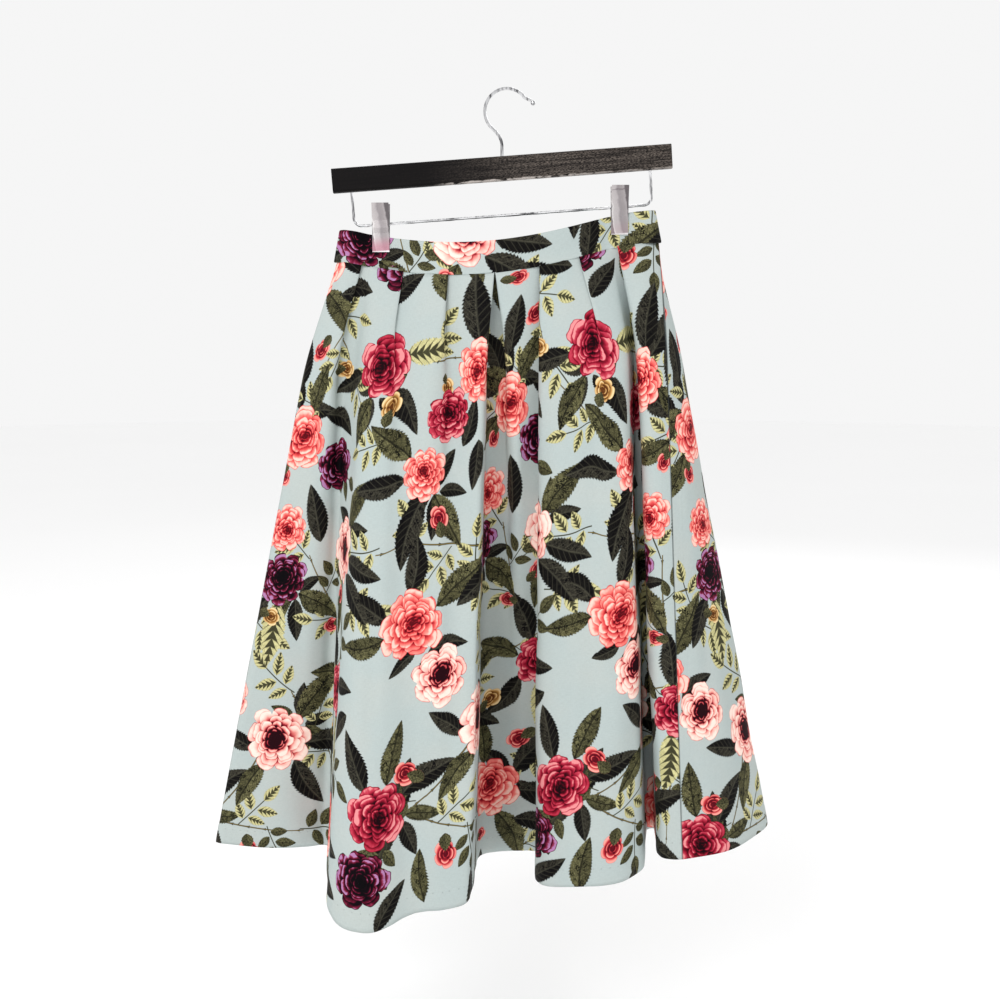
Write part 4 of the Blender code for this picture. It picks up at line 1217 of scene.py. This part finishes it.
def rose_group(ring):
    """A double rose in the colour of its tint's number; half of the roses have two petals more
    to each ring, and a blush rose has a dark heart."""
    net = MotifGroup("rose")
    flat = net.join(net.along, net.across, net.times(net.chance, 9.0))
    wobble = net.vector("SUBTRACT", net.noise(flat, 2.4, 2.0, output="Color"), (0.5, 0.5, 0.5))
    point = net.stretched(net.vector("ADD", flat, net.scaled(wobble, 0.24)), (1.0, 1.0, 0.0))
    arms = [net.vector("SUBTRACT", point, middle) for middle in ROSE_MIDDLES]
    fields = [(net.length(arm), net.round_share(arm)) for arm in arms]
    extra = net.times(net.above(net.chance, 0.5), 2.0)
    shade, mask = petal_rings(net, ring, [
        (fields[row.middle], row.radius, net.plus(extra, float(row.petals)), row.turn)
        for row in ROSE_RINGS])
    (outer_distance, outer_turn), (heart_distance, _) = fields
    radial = net.join(net.times(outer_turn, 26.0), net.times(outer_distance, 3.0), net.chance)
    shade = net.line(net.minus(net.noise(radial, 1.0, 2.0), 0.5), 0.70, shade)
    heart = net.ease(heart_distance, 0.18, 0.50, 1.0, 0.0)
    shade = net.minus(shade, net.times(net.above(net.hue, BLUSH - 0.5), 0.55, heart))
    return net.drawn(net.picked(net.hue, *[net.ramp(shade, *inks) for inks in ROSE_INKS]), mask)


def blade_group():
    """A toothed leaf from -1 to 1 along X: its mask, its fine hatching, the dark feathering
    along its midrib, its veins and which half is lit."""
    net = Group("leaf blade",
                {"Place": "Vector", "Width": "Float", "Teeth": "Float", "Veins": "Float"},
                dict.fromkeys(("Mask", "Hatch", "Feather", "Vein", "Lit"), "Float"))
    place = net.given["Place"]
    along, across, _ = net.split(place)
    away = net.absolute(across)
    room = net.larger(net.line(net.times(along, -1.0), along, 1.0), 0.0)
    outline = net.times(net.math("POWER", room, 0.82), net.line(along, -0.28, 1.0))
    tooth = net.math("FRACT", net.times(along, net.given["Teeth"]))
    limit = net.times(outline, net.line(tooth, -0.14, 1.0), net.given["Width"])
    mask = net.ease(away, net.minus(limit, 0.03), limit, 1.0, 0.0)
    spread = net.over(away, net.larger(limit, 0.001))
    slant = net.times(net.minus(along, away), net.given["Veins"])
    between = net.swing(slant)
    fine = net.swing(net.times(slant, 5.0))
    hatch = net.times(net.ease(fine, 0.35, 0.75), net.ease(net.noise(place, 5.0), 0.36, 0.58))
    speckle = net.ease(net.noise(place, 26.0), 0.50, 0.62, 0.0, 0.8)
    reach = net.line(between, -0.66, 0.84)
    rib = net.ease(away, 0.012, 0.045, 1.0, 0.0)
    return net.closed(Mask=net.times(mask, net.above(limit, 0.001)),
                      Hatch=net.larger(hatch, speckle),
                      Feather=net.ease(spread, net.minus(reach, 0.24), reach, 1.0, 0.0),
                      Vein=net.larger(rib, net.ease(between, 0.04, 0.26, 0.8, 0.0)),
                      Lit=net.above(across, 0.0))


def leaf_colour(net, hue, leaf):
    """The colour of a leaf: near black, olive, or pale with dark veins and a feathered middle."""
    hatch, vein = leaf["Hatch"], leaf["Vein"]
    glow = net.line(leaf["Lit"], 0.22, 0.04)
    black = net.tint(net.times(hatch, glow), ink(5, 4, 6), ink(124, 120, 102))
    black = net.tint(net.times(vein, 0.16), black, ink(120, 118, 100))
    olive = net.tint(net.times(hatch, net.plus(glow, 0.34)), ink(16, 16, 10),
                     ink(156, 152, 106))
    olive = net.tint(net.times(vein, 0.80), olive, ink(12, 12, 10))
    pale = net.tint(net.times(hatch, 0.50), ink(208, 202, 148), ink(104, 102, 60))
    dark = net.larger(net.times(leaf["Feather"], 0.92), net.times(vein, 0.80))
    return net.picked(hue, black, olive, net.tint(dark, pale, ink(20, 21, 15)))


def leaf_group(blade):
    """A single big leaf."""
    net = MotifGroup("leaf")
    place = net.join(net.along, net.bent(net.along, net.across, net.bow(0.42)), net.chance)
    leaf = net.use(blade, Place=place, Width=0.42, Teeth=9.0, Veins=4.2)
    return net.drawn(leaf_colour(net, net.hue, leaf), leaf["Mask"])


WHORL_HEART = 0.09           # where its leaves start, as a share of its radius


def whorl_group(blade):
    """Four to six big leaves that spread from one place, of uneven length and bend."""
    net = MotifGroup("leaf whorl")
    arm = net.join(net.along, net.across)
    count = net.whole(net.line(net.chance, 2.99, 4.0))
    sector = net.times(net.round_share(arm), count)
    step = net.whole(net.times(net.chance, float(CHANCE_STEPS)))
    number = net.line(step, 7.0, net.whole(sector))
    lean, shortening, bend = net.split(net.dice(number, "Color"))
    angle = net.minus(net.math("FRACT", sector), 0.5)
    angle = net.times(net.over(angle, count), math.tau)
    angle = net.plus(angle, net.line(lean, 0.34, -0.17))
    radius = net.length(arm)
    end = net.line(shortening, -0.36, 0.97)
    middle = net.times(net.plus(end, WHORL_HEART), 0.5)
    half = net.times(net.minus(end, WHORL_HEART), 0.5)
    along = net.over(net.minus(net.times(radius, net.math("COSINE", angle)), middle), half)
    across = net.over(net.times(radius, net.math("SINE", angle)), half)
    across = net.bent(along, across, net.line(bend, 0.44, -0.22))
    leaf = net.use(blade, Place=net.join(along, across, number), Width=0.45, Teeth=7.0,
                   Veins=4.2)
    return net.drawn(leaf_colour(net, net.above(bend, 0.66), leaf), leaf["Mask"])


# Leaflets of a sprig, each pair given once: place along its stem and beside it, angle to it
# (degrees) and half-length.
Leaflet = namedtuple("Leaflet", "along aside angle half")
SPRIG_LEAFLETS = [Leaflet(*row) for row in (
    (-0.50, 0.33, 66, 0.31), (-0.02, 0.37, 56, 0.36), (0.62, 0.0, 0, 0.38),
)]
FAR_AWAY = 9.0               # stands for no leaflet yet


def sprig_group(blade):
    """A rose leaf: leaflets in pairs along a thin stem, and one at its end."""
    net = MotifGroup("sprig")
    across = net.bent(net.along, net.across, net.bow(0.30))
    staggered = net.line(net.math("SIGN", across), 0.07, net.along)
    away = net.absolute(across)
    nearest, local = FAR_AWAY, (FAR_AWAY, FAR_AWAY, 0.0)
    for leaflet in SPRIG_LEAFLETS:
        place = net.join(staggered, away) if leaflet.angle else net.join(net.along, across)
        moved = net.vector("SUBTRACT", place, (leaflet.along, leaflet.aside, 0.0))
        turned = net.turned(moved, "Z", -math.radians(leaflet.angle))
        own = net.scaled(turned, 1.0 / leaflet.half)
        distance = net.length(net.stretched(own, (1.0, 2.0, 0.0)))
        local = net.mixed("VECTOR", net.below(distance, nearest), local, own)
        nearest = net.math("MINIMUM", distance, nearest)
    leaf = net.use(blade, Place=local, Width=0.56, Teeth=6.0, Veins=2.6)
    stalk = net.times(net.ease(away, 0.010, 0.026, 1.0, 0.0),
                      net.below(net.absolute(net.along), 0.95))
    colour = net.tint(leaf["Mask"], ink(58, 58, 40), leaf_colour(net, net.hue, leaf))
    return net.drawn(colour, net.larger(leaf["Mask"], stalk))


def stem_group():
    """A long bowed stem with small thorns."""
    net = MotifGroup("stem")
    along = net.along
    arch = net.times(net.line(along, along, -0.5), net.bow(0.30))
    away = net.absolute(net.minus(net.across, arch))
    thorn = net.math("POWER", net.math("FRACT", net.times(along, 3.3)), 12.0)
    width = net.line(thorn, 0.022, net.line(along, -0.005, 0.016))
    mask = net.ease(away, net.times(width, 0.55), width, 1.0, 0.0)
    mask = net.times(mask, net.below(net.absolute(along), 0.98))
    colour = net.ramp(net.ease(away, 0.0, 0.016), (0.0, 122, 108, 66), (0.55, 62, 54, 36),
                      (1.0, 22, 21, 16))
    return net.drawn(colour, mask)


def bud_group(ring, blade):
    """A closed bud with its green calyx behind it."""
    net = MotifGroup("bud")
    arm = net.join(net.minus(net.along, 0.12), net.times(net.across, 1.25))
    field = (net.length(arm), net.round_share(arm))
    shade, mask = petal_rings(net, ring, [(field, radius, petals, radius)
                                          for radius, petals in BUD_RINGS])
    colour = net.picked(net.hue, *[net.ramp(shade, *inks) for inks in BUD_INKS])
    behind = net.vector("SUBTRACT", net.join(net.along, net.across), (-0.48, 0.0, 0.0))
    calyx = net.use(blade, Place=net.scaled(behind, 2.1), Width=0.75, Teeth=3.0, Veins=2.0)
    green = leaf_colour(net, float(OLIVE), calyx)
    return net.drawn(net.tint(calyx["Mask"], colour, green), net.larger(mask, calyx["Mask"]))


def flower_print_group():
    """The whole print over a ground colour, from the motif places stored on the cloth."""
    ring = petal_ring_group()
    blade = blade_group()
    drawn = {STEM: stem_group(), WHORL: whorl_group(blade), SPRIG: sprig_group(blade),
             LEAF: leaf_group(blade), BUD: bud_group(ring, blade), ROSE: rose_group(ring)}
    net = Group("flower print", {"Ground": "Color"}, {"Color": "Color", "Ink": "Float"})
    colour, inked = net.given["Ground"], 0.0
    for kind, group in drawn.items():
        for layer in KINDS[kind].layers:
            stored = net.add("Attribute", attribute_type="GEOMETRY", attribute_name=layer)
            motif = net.use(group, Place=stored.outputs["Vector"])
            colour = net.tint(motif["Mask"], colour, motif["Color"])
            inked = net.larger(inked, motif["Mask"])
    return net.closed(Color=colour, Ink=inked)


# ---------------------------------------------------------------- materials
def new_material(name):
    made = bpy.data.materials.new(name)
    made.use_nodes = True
    return made, Net(made.node_tree)


def dress(material, net, colour, roughness, relief=None, **constants):
    """Links a material's colour, roughness and relief (its height, how far that reaches and how
    strong it looks), and sets what is the same all over it on the shader itself."""
    shader = material.node_tree.nodes["Principled BSDF"].inputs
    net.feed(shader["Base Color"], colour)
    net.feed(shader["Roughness"], roughness)
    if relief:
        height, distance, strength = relief
        bump = net.add("Bump")
        net.feed(bump.inputs["Height"], height)
        bump.inputs["Distance"].default_value = distance
        bump.inputs["Strength"].default_value = strength
        net.feed(shader["Normal"], bump.outputs["Normal"])
    for name, value in constants.items():
        shader[name.replace("_", " ")].default_value = value
    return material


def cloth_material(name, groups, ground, strength):
    """Printed cloth, with the print at a strength; the turned-up hem shows it in full."""
    printed, weave, sewing = groups
    material, net = new_material(name)
    place = net.cloth_place()
    cloudy = net.noise(place, 14.0, 3.0)
    base = net.tint(net.ease(cloudy, 0.35, 0.65, 0.0, 0.5), (*ground, 1.0), ink(169, 183, 183))
    flowers = net.use(printed, Ground=base)
    sewn = net.use(sewing, Place=place)
    colour = net.tint(net.larger(sewn["Turned"], strength), base, flowers["Color"])
    # Painted shade in the seam grooves and the hem's stitch dimples.
    colour = net.tint(net.times(sewn["Dark"], 0.55), colour, ink(52, 58, 58))
    threads = net.use(weave, Place=place, Threads=THREADS)
    tone = net.join(threads["Tone"], threads["Tone"], threads["Tone"])
    colour = net.tint(1.0, colour, tone, "MULTIPLY")
    rumple = net.line(net.noise(place, 70.0, 3.0), 0.6, net.times(threads["Height"], 0.4))
    return dress(material, net, colour, net.ease(flowers["Ink"], 0.0, 1.0, 0.72, 0.62),
                 (net.plus(rumple, sewn["Height"]), 0.0007, 0.55),
                 Sheen_Weight=0.01, Sheen_Roughness=0.5, Specular_IOR_Level=0.05)


def cloth_pair():
    """The printed face of the cloth and its reverse, where the print shows through weakly."""
    names = ("printed_cloth", "cloth_reverse")
    found = [bpy.data.materials.get(name) for name in names]
    if None in found:
        settings = bpy.context.scene.skirt_cloth
        groups = (flower_print_group(), weave_group(), sewing_group())
        found = [cloth_material(name, groups, tuple(settings.ground), strength)
                 for name, strength in zip(names, (1.0, settings.show_through))]
    return found


def zip_materials():
    """The zip's woven tape, in shade where its halves meet, and its nylon teeth."""
    tape, net = new_material("zip_tape")
    place = net.cloth_place()
    aside, along, _ = net.split(place)
    ribs = net.math("SINE", net.times(along, 5200.0))
    grain = net.noise(place, 900.0)
    woven = net.ramp(grain, (0.3, 176, 192, 191), (0.7, 198, 211, 210))
    meeting = net.ease(net.absolute(aside), 0.0006, 0.0020, 0.85, 0.0)
    dress(tape, net, net.tint(meeting, woven, ink(34, 38, 39)),
          net.ease(grain, 0.3, 0.7, 0.78, 0.9), (net.line(ribs, 0.3, grain), 0.0002, 0.5))
    teeth, net = new_material("zip_teeth")
    cloudy = net.noise(net.object_place(), 400.0)
    dress(teeth, net, net.ramp(cloudy, (0.3, 150, 168, 168), (0.7, 182, 197, 196)),
          net.ease(cloudy, 0.3, 0.7, 0.30, 0.45))
    return tape, teeth


HANGER_ROLL = math.radians(4.12)
BAR_MIDDLE = Vector((-0.0049, 0.0, -0.0782))
BAR_HALF_HEIGHT = 0.01225
ROD_LEVEL = -0.048           # just above the rod's run, from the middle of the bar
# The rod's painted reflection streaks.
ROD_REFLECTION_STREAKS = (75.0, 420.0, 620.0)   # how closely they lie along the rod's run, across and up


def rolled_place(net, middle):
    """A place measured along the rolled hanger and square to it, from a middle point."""
    middle = tuple(middle)
    turned = net.turned(net.object_place(), "Y", HANGER_ROLL, middle)
    return net.vector("SUBTRACT", turned, middle)


def stained_wood_material(stain, grain_colour):
    """Black stained wood: plain and satin at one end; towards the other its grain shows lighter,
    partly real open grain and partly painted sheen. A painted highlight runs in patches along
    its lower edge."""
    material, net = new_material("black_stained_wood")
    place = rolled_place(net, BAR_MIDDLE)
    along, _, up = net.split(place)
    dashes = net.streaks(place, (420.0, 900.0, 1500.0), 4.0, 0.65)
    long_grain = net.streaks(place, (12.0, 160.0, 420.0), 4.0, 0.6)
    # The grain grows lighter and deeper towards +X: partly real open grain, partly painted sheen.
    opened = net.ease(along, -0.085, 0.05, 0.03, 1.0)
    grain = net.times(net.ease(dashes, 0.38, 0.66), opened,
                      net.ease(long_grain, 0.36, 0.60, 0.25, 1.0))
    colour = net.tint(grain, (*stain, 1.0), (*grain_colour, 1.0))
    patchy = net.streaks(place, (110.0, 110.0, 300.0), 4.0, 0.65)
    # Painted highlight: a pale patchy line along the bar's rounded lower edge, mixed into the
    # wood's colour.
    low = net.line(net.minus(patchy, 0.5), -0.0040, up)
    low = net.ease(low, 0.0006 - BAR_HALF_HEIGHT, 0.0018 - BAR_HALF_HEIGHT, 1.0, 0.0)
    reach = net.times(net.ease(along, -0.072, -0.045), net.ease(along, 0.055, 0.110, 1.0, 0.45))
    painted_edge_highlight = net.times(low, reach, net.ease(patchy, 0.40, 0.52))
    return dress(material, net, net.tint(painted_edge_highlight, colour, ink(182, 174, 168)),
                 net.ease(dashes, 0.3, 0.7, 0.42, 0.62),
                 (net.times(net.plus(long_grain, dashes), opened), 0.0002, 0.3),
                 Specular_IOR_Level=0.07)


def plated_wire_material(name, upright, darkest, lightest):
    """Bright plated wire: painted reflections in light and dark streaks, and dull spots. upright is
    how closely the streaks lie on what stands up from the run below the bar; darkest and
    lightest are their tones."""
    material, net = new_material(name)
    place = rolled_place(net, BAR_MIDDLE)
    standing = net.ease(net.split(place)["Z"], ROD_LEVEL, ROD_LEVEL + 0.004)
    streaks = net.mixed("FLOAT", standing, net.streaks(place, ROD_REFLECTION_STREAKS, 2.0),
                        net.streaks(place, upright, 2.0))
    # Painted reflections: light and dark streaks in the wire's base colour.
    colour = net.ramp(streaks, (0.34, darkest, darkest, darkest + 2),
                      (0.56, lightest, lightest, lightest + 2))
    return dress(material, net, colour,
                 net.ease(net.noise(place, 160.0, 3.0), 0.3, 0.7, 0.12, 0.28),
                 (net.noise(place, 900.0), 0.0001, 0.2), Metallic=1.0)


# Bands of light and shade across a clip: share of its width, red, green and blue.
CLIP_BANDS = ((0.02, 136, 131, 132), (0.06, 216, 213, 212), (0.14, 192, 187, 187),
              (0.40, 182, 176, 177), (0.52, 152, 146, 148), (0.76, 158, 152, 153),
              (0.90, 170, 164, 165), (0.97, 104, 99, 101))


def clip_metal_material(name, node, blush, scratched):
    """Plated sheet metal, brushed along the clip, with painted reflections: bands of light and
    shade across it and a painted highlight along its lower end. blush is the strength of a
    pink painted reflection of the print on its lower third, and scratched how deep its scratch
    is."""
    material, net = new_material(name)
    low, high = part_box(node)
    width, length = high[0] - low[0], high[2] - low[2]
    place = rolled_place(net, (Vector(low) + Vector(high)) / 2)
    aside, _, up = net.split(place)
    brushed = net.streaks(place, (2600.0, 400.0, 60.0), 4.0, 0.6)
    cloudy = net.minus(net.noise(place, 110.0, 3.0), 0.5)
    across = net.plus(net.line(aside, 1.0 / width, 0.5), net.times(up, 0.22 / length),
                      net.times(cloudy, 0.30))
    rise = net.over(up, length)
    # The bands are painted reflections of light and shade.
    colour = net.ramp(across, *CLIP_BANDS)
    # Painted reflection: the print's pink mirrored on the clip's lower third, as strong as blush.
    colour = net.tint(net.ease(rise, -0.42, -0.14, blush, 0.0), colour, ink(184, 126, 142))
    # Painted highlight along the clip's lower end.
    colour = net.tint(net.ease(rise, -0.495, -0.46, 1.0, 0.0), colour, ink(232, 228, 229))
    scratch = net.absolute(net.minus(rise, net.line(cloudy, 0.20, 0.40)))
    scratch = net.ease(scratch, 0.006, 0.020, scratched, 0.0)
    return dress(material, net, net.tint(scratch, colour, ink(112, 104, 108)),
                 net.ease(brushed, 0.3, 0.7, 0.30, 0.50), (brushed, 0.0001, 0.4), Metallic=1.0)


def floor_material(colour):
    """A plain pale floor, very slightly uneven in tone."""
    material, net = new_material("studio_floor")
    place = net.object_place()
    darker = [part * 0.98 for part in colour]
    return dress(material, net,
                 net.tint(net.noise(place, 1.2), (*colour, 1.0), (*darker, 1.0)),
                 net.ease(net.noise(place, 3.0), 0.3, 0.7, 0.85, 0.95))


# ---------------------------------------------------------------- settings
def colour_setting(name, description, default):
    return bpy.props.FloatVectorProperty(name=name, description=description, size=3,
                                         subtype="COLOR", min=0.0, max=1.0, default=default)


def power_setting(name, description, default):
    return bpy.props.FloatProperty(name=name, description=description, unit="POWER", min=0.0,
                                   default=default)


class SkirtCloth(bpy.types.PropertyGroup):
    """Colours of the skirt's cloth."""

    ground: colour_setting("Ground", "Colour of the cloth between the flowers",
                           ink(178, 186, 183)[:3])
    show_through: bpy.props.FloatProperty(
        name="Show-through", description="How strongly the print shows on the reverse",
        subtype="FACTOR", min=0.0, max=1.0, default=0.16)


class HangerFinish(bpy.types.PropertyGroup):
    """Colours of the hanger."""

    stain: colour_setting("Stain", "Colour of the stained wood", ink(12, 10, 11)[:3])
    grain: colour_setting("Grain", "Colour of the wood's open grain", ink(108, 99, 92)[:3])


class StudioStage(bpy.types.PropertyGroup):
    """The floor and the lights round the skirt."""

    floor_drop: bpy.props.FloatProperty(
        name="Floor drop", description="From the hem down to the floor", unit="LENGTH",
        min=0.0, default=0.22)
    floor_colour: colour_setting("Floor colour", "Colour of the floor", (0.99, 0.99, 0.99))
    key_power: power_setting("Key light", "Power of the main soft light", 38.0)
    fill_power: power_setting("Fill light", "Power of the weaker light from the other side", 3.0)
    back_power: power_setting("Back light", "Power of the light behind the skirt", 14.0)
    surroundings: bpy.props.FloatProperty(
        name="Surroundings", description="Brightness of the light from all round",
        min=0.0, default=0.92)


# ---------------------------------------------------------------- operators
def finished(piece, materials, node=None):
    """Gives a new piece its materials and its place in the model. node is what it replaces."""
    for material in materials:
        piece.data.materials.append(material)
    if node:
        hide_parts(node)
    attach(piece, "root")
    return piece


class SKIRT_OT_panels(bpy.types.Operator):
    """Build the front and back panels with their pleats, folds and creases"""

    bl_idname = "skirt.panels"
    bl_label = "Skirt panels"

    def execute(self, context):
        repeat = printed_repeat()
        rows = (("skirt_front", FRONT, BACK, FRONT_HEM_WIDTH, FRONT_CREASES, 3.0, "front_panel",
                 "waistband_front"),
                ("skirt_back", BACK, FRONT, BACK_HEM_WIDTH, BACK_CREASES, 8.0, "back_panel",
                 "waistband_back"))
        for name, folds, neighbour, hem_width, creases, seed, node, band in rows:
            mesh = panel_shell(name, folds, neighbour, hem_width, creases, seed)
            print_motifs(mesh, repeat)
            piece = finished(add_piece(name, mesh), cloth_pair(), node)
        return {"FINISHED"}


class SKIRT_OT_waistband(bpy.types.Operator):
    """Build the two halves of the folded waistband"""

    bl_idname = "skirt.waistband"
    bl_label = "Waistband"

    def execute(self, context):
        repeat = printed_repeat()
        rows = (("band_front", 1, (0.13, 0.335), "waistband_front", "clip_left_front"),
                ("band_back", -1, (0.02, 0.11), "waistband_back", "clip_left_rear"))
        for name, side, cut, node, clip in rows:
            mesh = band_shell(name, side, cut)
            print_motifs(mesh, repeat)
            piece = finished(add_piece(name, mesh), cloth_pair(), node)
        return {"FINISHED"}


class SKIRT_OT_zip(bpy.types.Operator):
    """Build the closed zip inside the right side seam: its tapes and its teeth"""

    bl_idname = "skirt.zip"
    bl_label = "Side zip"

    def execute(self, context):
        grid = zip_grid()
        tape_finish, teeth_finish = zip_materials()
        tape = finished(add_piece("zip_tape", zip_tape_shell(grid)), [tape_finish, tape_finish],
                        "side_zip")
        finished(zip_teeth(grid), [teeth_finish])
        return {"FINISHED"}


class SKIRT_OT_hanger(bpy.types.Operator):
    """Give the hanger's wood, wire and clips their finishes"""

    bl_idname = "skirt.hanger"
    bl_label = "Hanger finishes"

    def execute(self, context):
        settings = context.scene.skirt_hanger
        wood = stained_wood_material(tuple(settings.stain), tuple(settings.grain))
        wire = plated_wire_material("plated_rod", (620.0, 420.0, 60.0), 92, 246)
        hook = plated_wire_material("plated_hook", (480.0, 420.0, 50.0), 66, 206)
        finishes = {"hanger_bar": wood, "hanger_hook": hook, "hook_ball": hook,
                    "hanger_rod": wire}
        # blush sets the strength of each clip's pink painted reflection of the print.
        for hand, blush, scratched in (("left", 0.75, 0.0), ("right", 0.15, 0.6)):
            clip = "clip_" + hand
            metal = clip_metal_material("clip_metal_" + hand, clip + "_front", blush, scratched)
            finishes.update({clip + "_front": metal, clip + "_rear": metal,
                             clip + "_spring": wire})
        for node, material in finishes.items():
            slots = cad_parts[node].data.materials
            slots.clear()
            slots.append(material)
        return {"FINISHED"}


CAMERA_PLACE = (-0.0067, -1.400, -0.22368)
CAMERA_PITCH = math.radians(8.0)     # looking down
CAMERA_LENS = 47.986
SENSOR_WIDTH = 36.0
FLOOR_RADIUS = 9.0
FLOOR_SIDES = 64

# Soft round lights: place, size and the setting that holds their power.
Lamp = namedtuple("Lamp", "name place size power_name")
LAMPS = (Lamp("key_light", (-1.3, -2.4, 1.0), 1.6, "key_power"),
         Lamp("fill_light", (1.8, -1.6, 0.2), 1.8, "fill_power"),
         Lamp("back_light", (1.0, 2.4, 1.0), 1.8, "back_power"))
LAMP_TARGET = (0.0, 0.0, -0.42)      # the middle of the skirt


def add_floor(level, material):
    bpy.ops.object.select_all(action="DESELECT")
    bpy.ops.mesh.primitive_circle_add(vertices=FLOOR_SIDES, radius=FLOOR_RADIUS,
                                      fill_type="NGON", location=(0.0, 0.0, level))
    floor = bpy.context.object
    floor.name = "studio_floor"
    bpy.ops.object.transform_apply(location=True, rotation=True, scale=True)
    floor.data.materials.append(material)


def add_lamp(lamp, power):
    light = bpy.data.lights.new(lamp.name, "AREA")
    light.shape = "DISK"
    light.size = lamp.size
    light.energy = power
    stand = add_piece(lamp.name, light)
    stand.location = lamp.place
    way = Vector(LAMP_TARGET) - Vector(lamp.place)
    stand.rotation_euler = way.to_track_quat("-Z", "Y").to_euler()


def add_camera():
    camera = bpy.data.cameras.new("camera")
    camera.lens = CAMERA_LENS
    camera.sensor_width = SENSOR_WIDTH
    camera.sensor_fit = "HORIZONTAL"
    viewer = add_piece("camera", camera)
    viewer.location = CAMERA_PLACE
    viewer.rotation_euler = (math.pi / 2 - CAMERA_PITCH, 0.0, 0.0)
    return viewer


class SKIRT_OT_stage(bpy.types.Operator):
    """Build the floor, the soft lights and the camera"""

    bl_idname = "skirt.stage"
    bl_label = "Studio"

    def execute(self, context):
        settings = context.scene.skirt_stage
        add_floor(CAD_BOX[0][2] - settings.floor_drop,
                  floor_material(tuple(settings.floor_colour)))
        for lamp in LAMPS:
            add_lamp(lamp, getattr(settings, lamp.power_name))
        world = bpy.data.worlds.new("studio")
        world.use_nodes = True
        background = world.node_tree.nodes["Background"].inputs
        background["Color"].default_value = (1.0, 1.0, 1.0, 1.0)
        background["Strength"].default_value = settings.surroundings
        context.scene.world = world
        context.scene.view_settings.view_transform = "Standard"
        context.scene.camera = add_camera()
        return {"FINISHED"}


STEPS = (SKIRT_OT_panels, SKIRT_OT_waistband, SKIRT_OT_zip, SKIRT_OT_hanger, SKIRT_OT_stage)


class SKIRT_PT_sidebar(bpy.types.Panel):
    """Lists the steps and settings of the skirt"""

    bl_idname = "SKIRT_PT_sidebar"
    bl_label = "Pleated skirt"
    bl_space_type = "VIEW_3D"
    bl_region_type = "UI"
    bl_category = "Skirt"

    def draw(self, context):
        layout = self.layout
        for step in STEPS:
            layout.operator(step.bl_idname)
        for name in SETTINGS:
            settings = getattr(context.scene, name)
            box = layout.box()
            for label in settings.__annotations__:
                box.prop(settings, label)


SETTINGS = {"skirt_cloth": SkirtCloth, "skirt_hanger": HangerFinish, "skirt_stage": StudioStage}
CLASSES = (*SETTINGS.values(), *STEPS, SKIRT_PT_sidebar)


def register():
    for made in CLASSES:
        bpy.utils.register_class(made)
    for name, made in SETTINGS.items():
        setattr(bpy.types.Scene, name, bpy.props.PointerProperty(type=made))


def unregister():
    for name in SETTINGS:
        delattr(bpy.types.Scene, name)
    for made in reversed(CLASSES):
        bpy.utils.unregister_class(made)


def main():
    register()
    bpy.ops.skirt.panels()
    bpy.ops.skirt.waistband()
    bpy.ops.skirt.zip()
    bpy.ops.skirt.hanger()
    bpy.ops.skirt.stage()


if __name__ == "__main__":
    main()
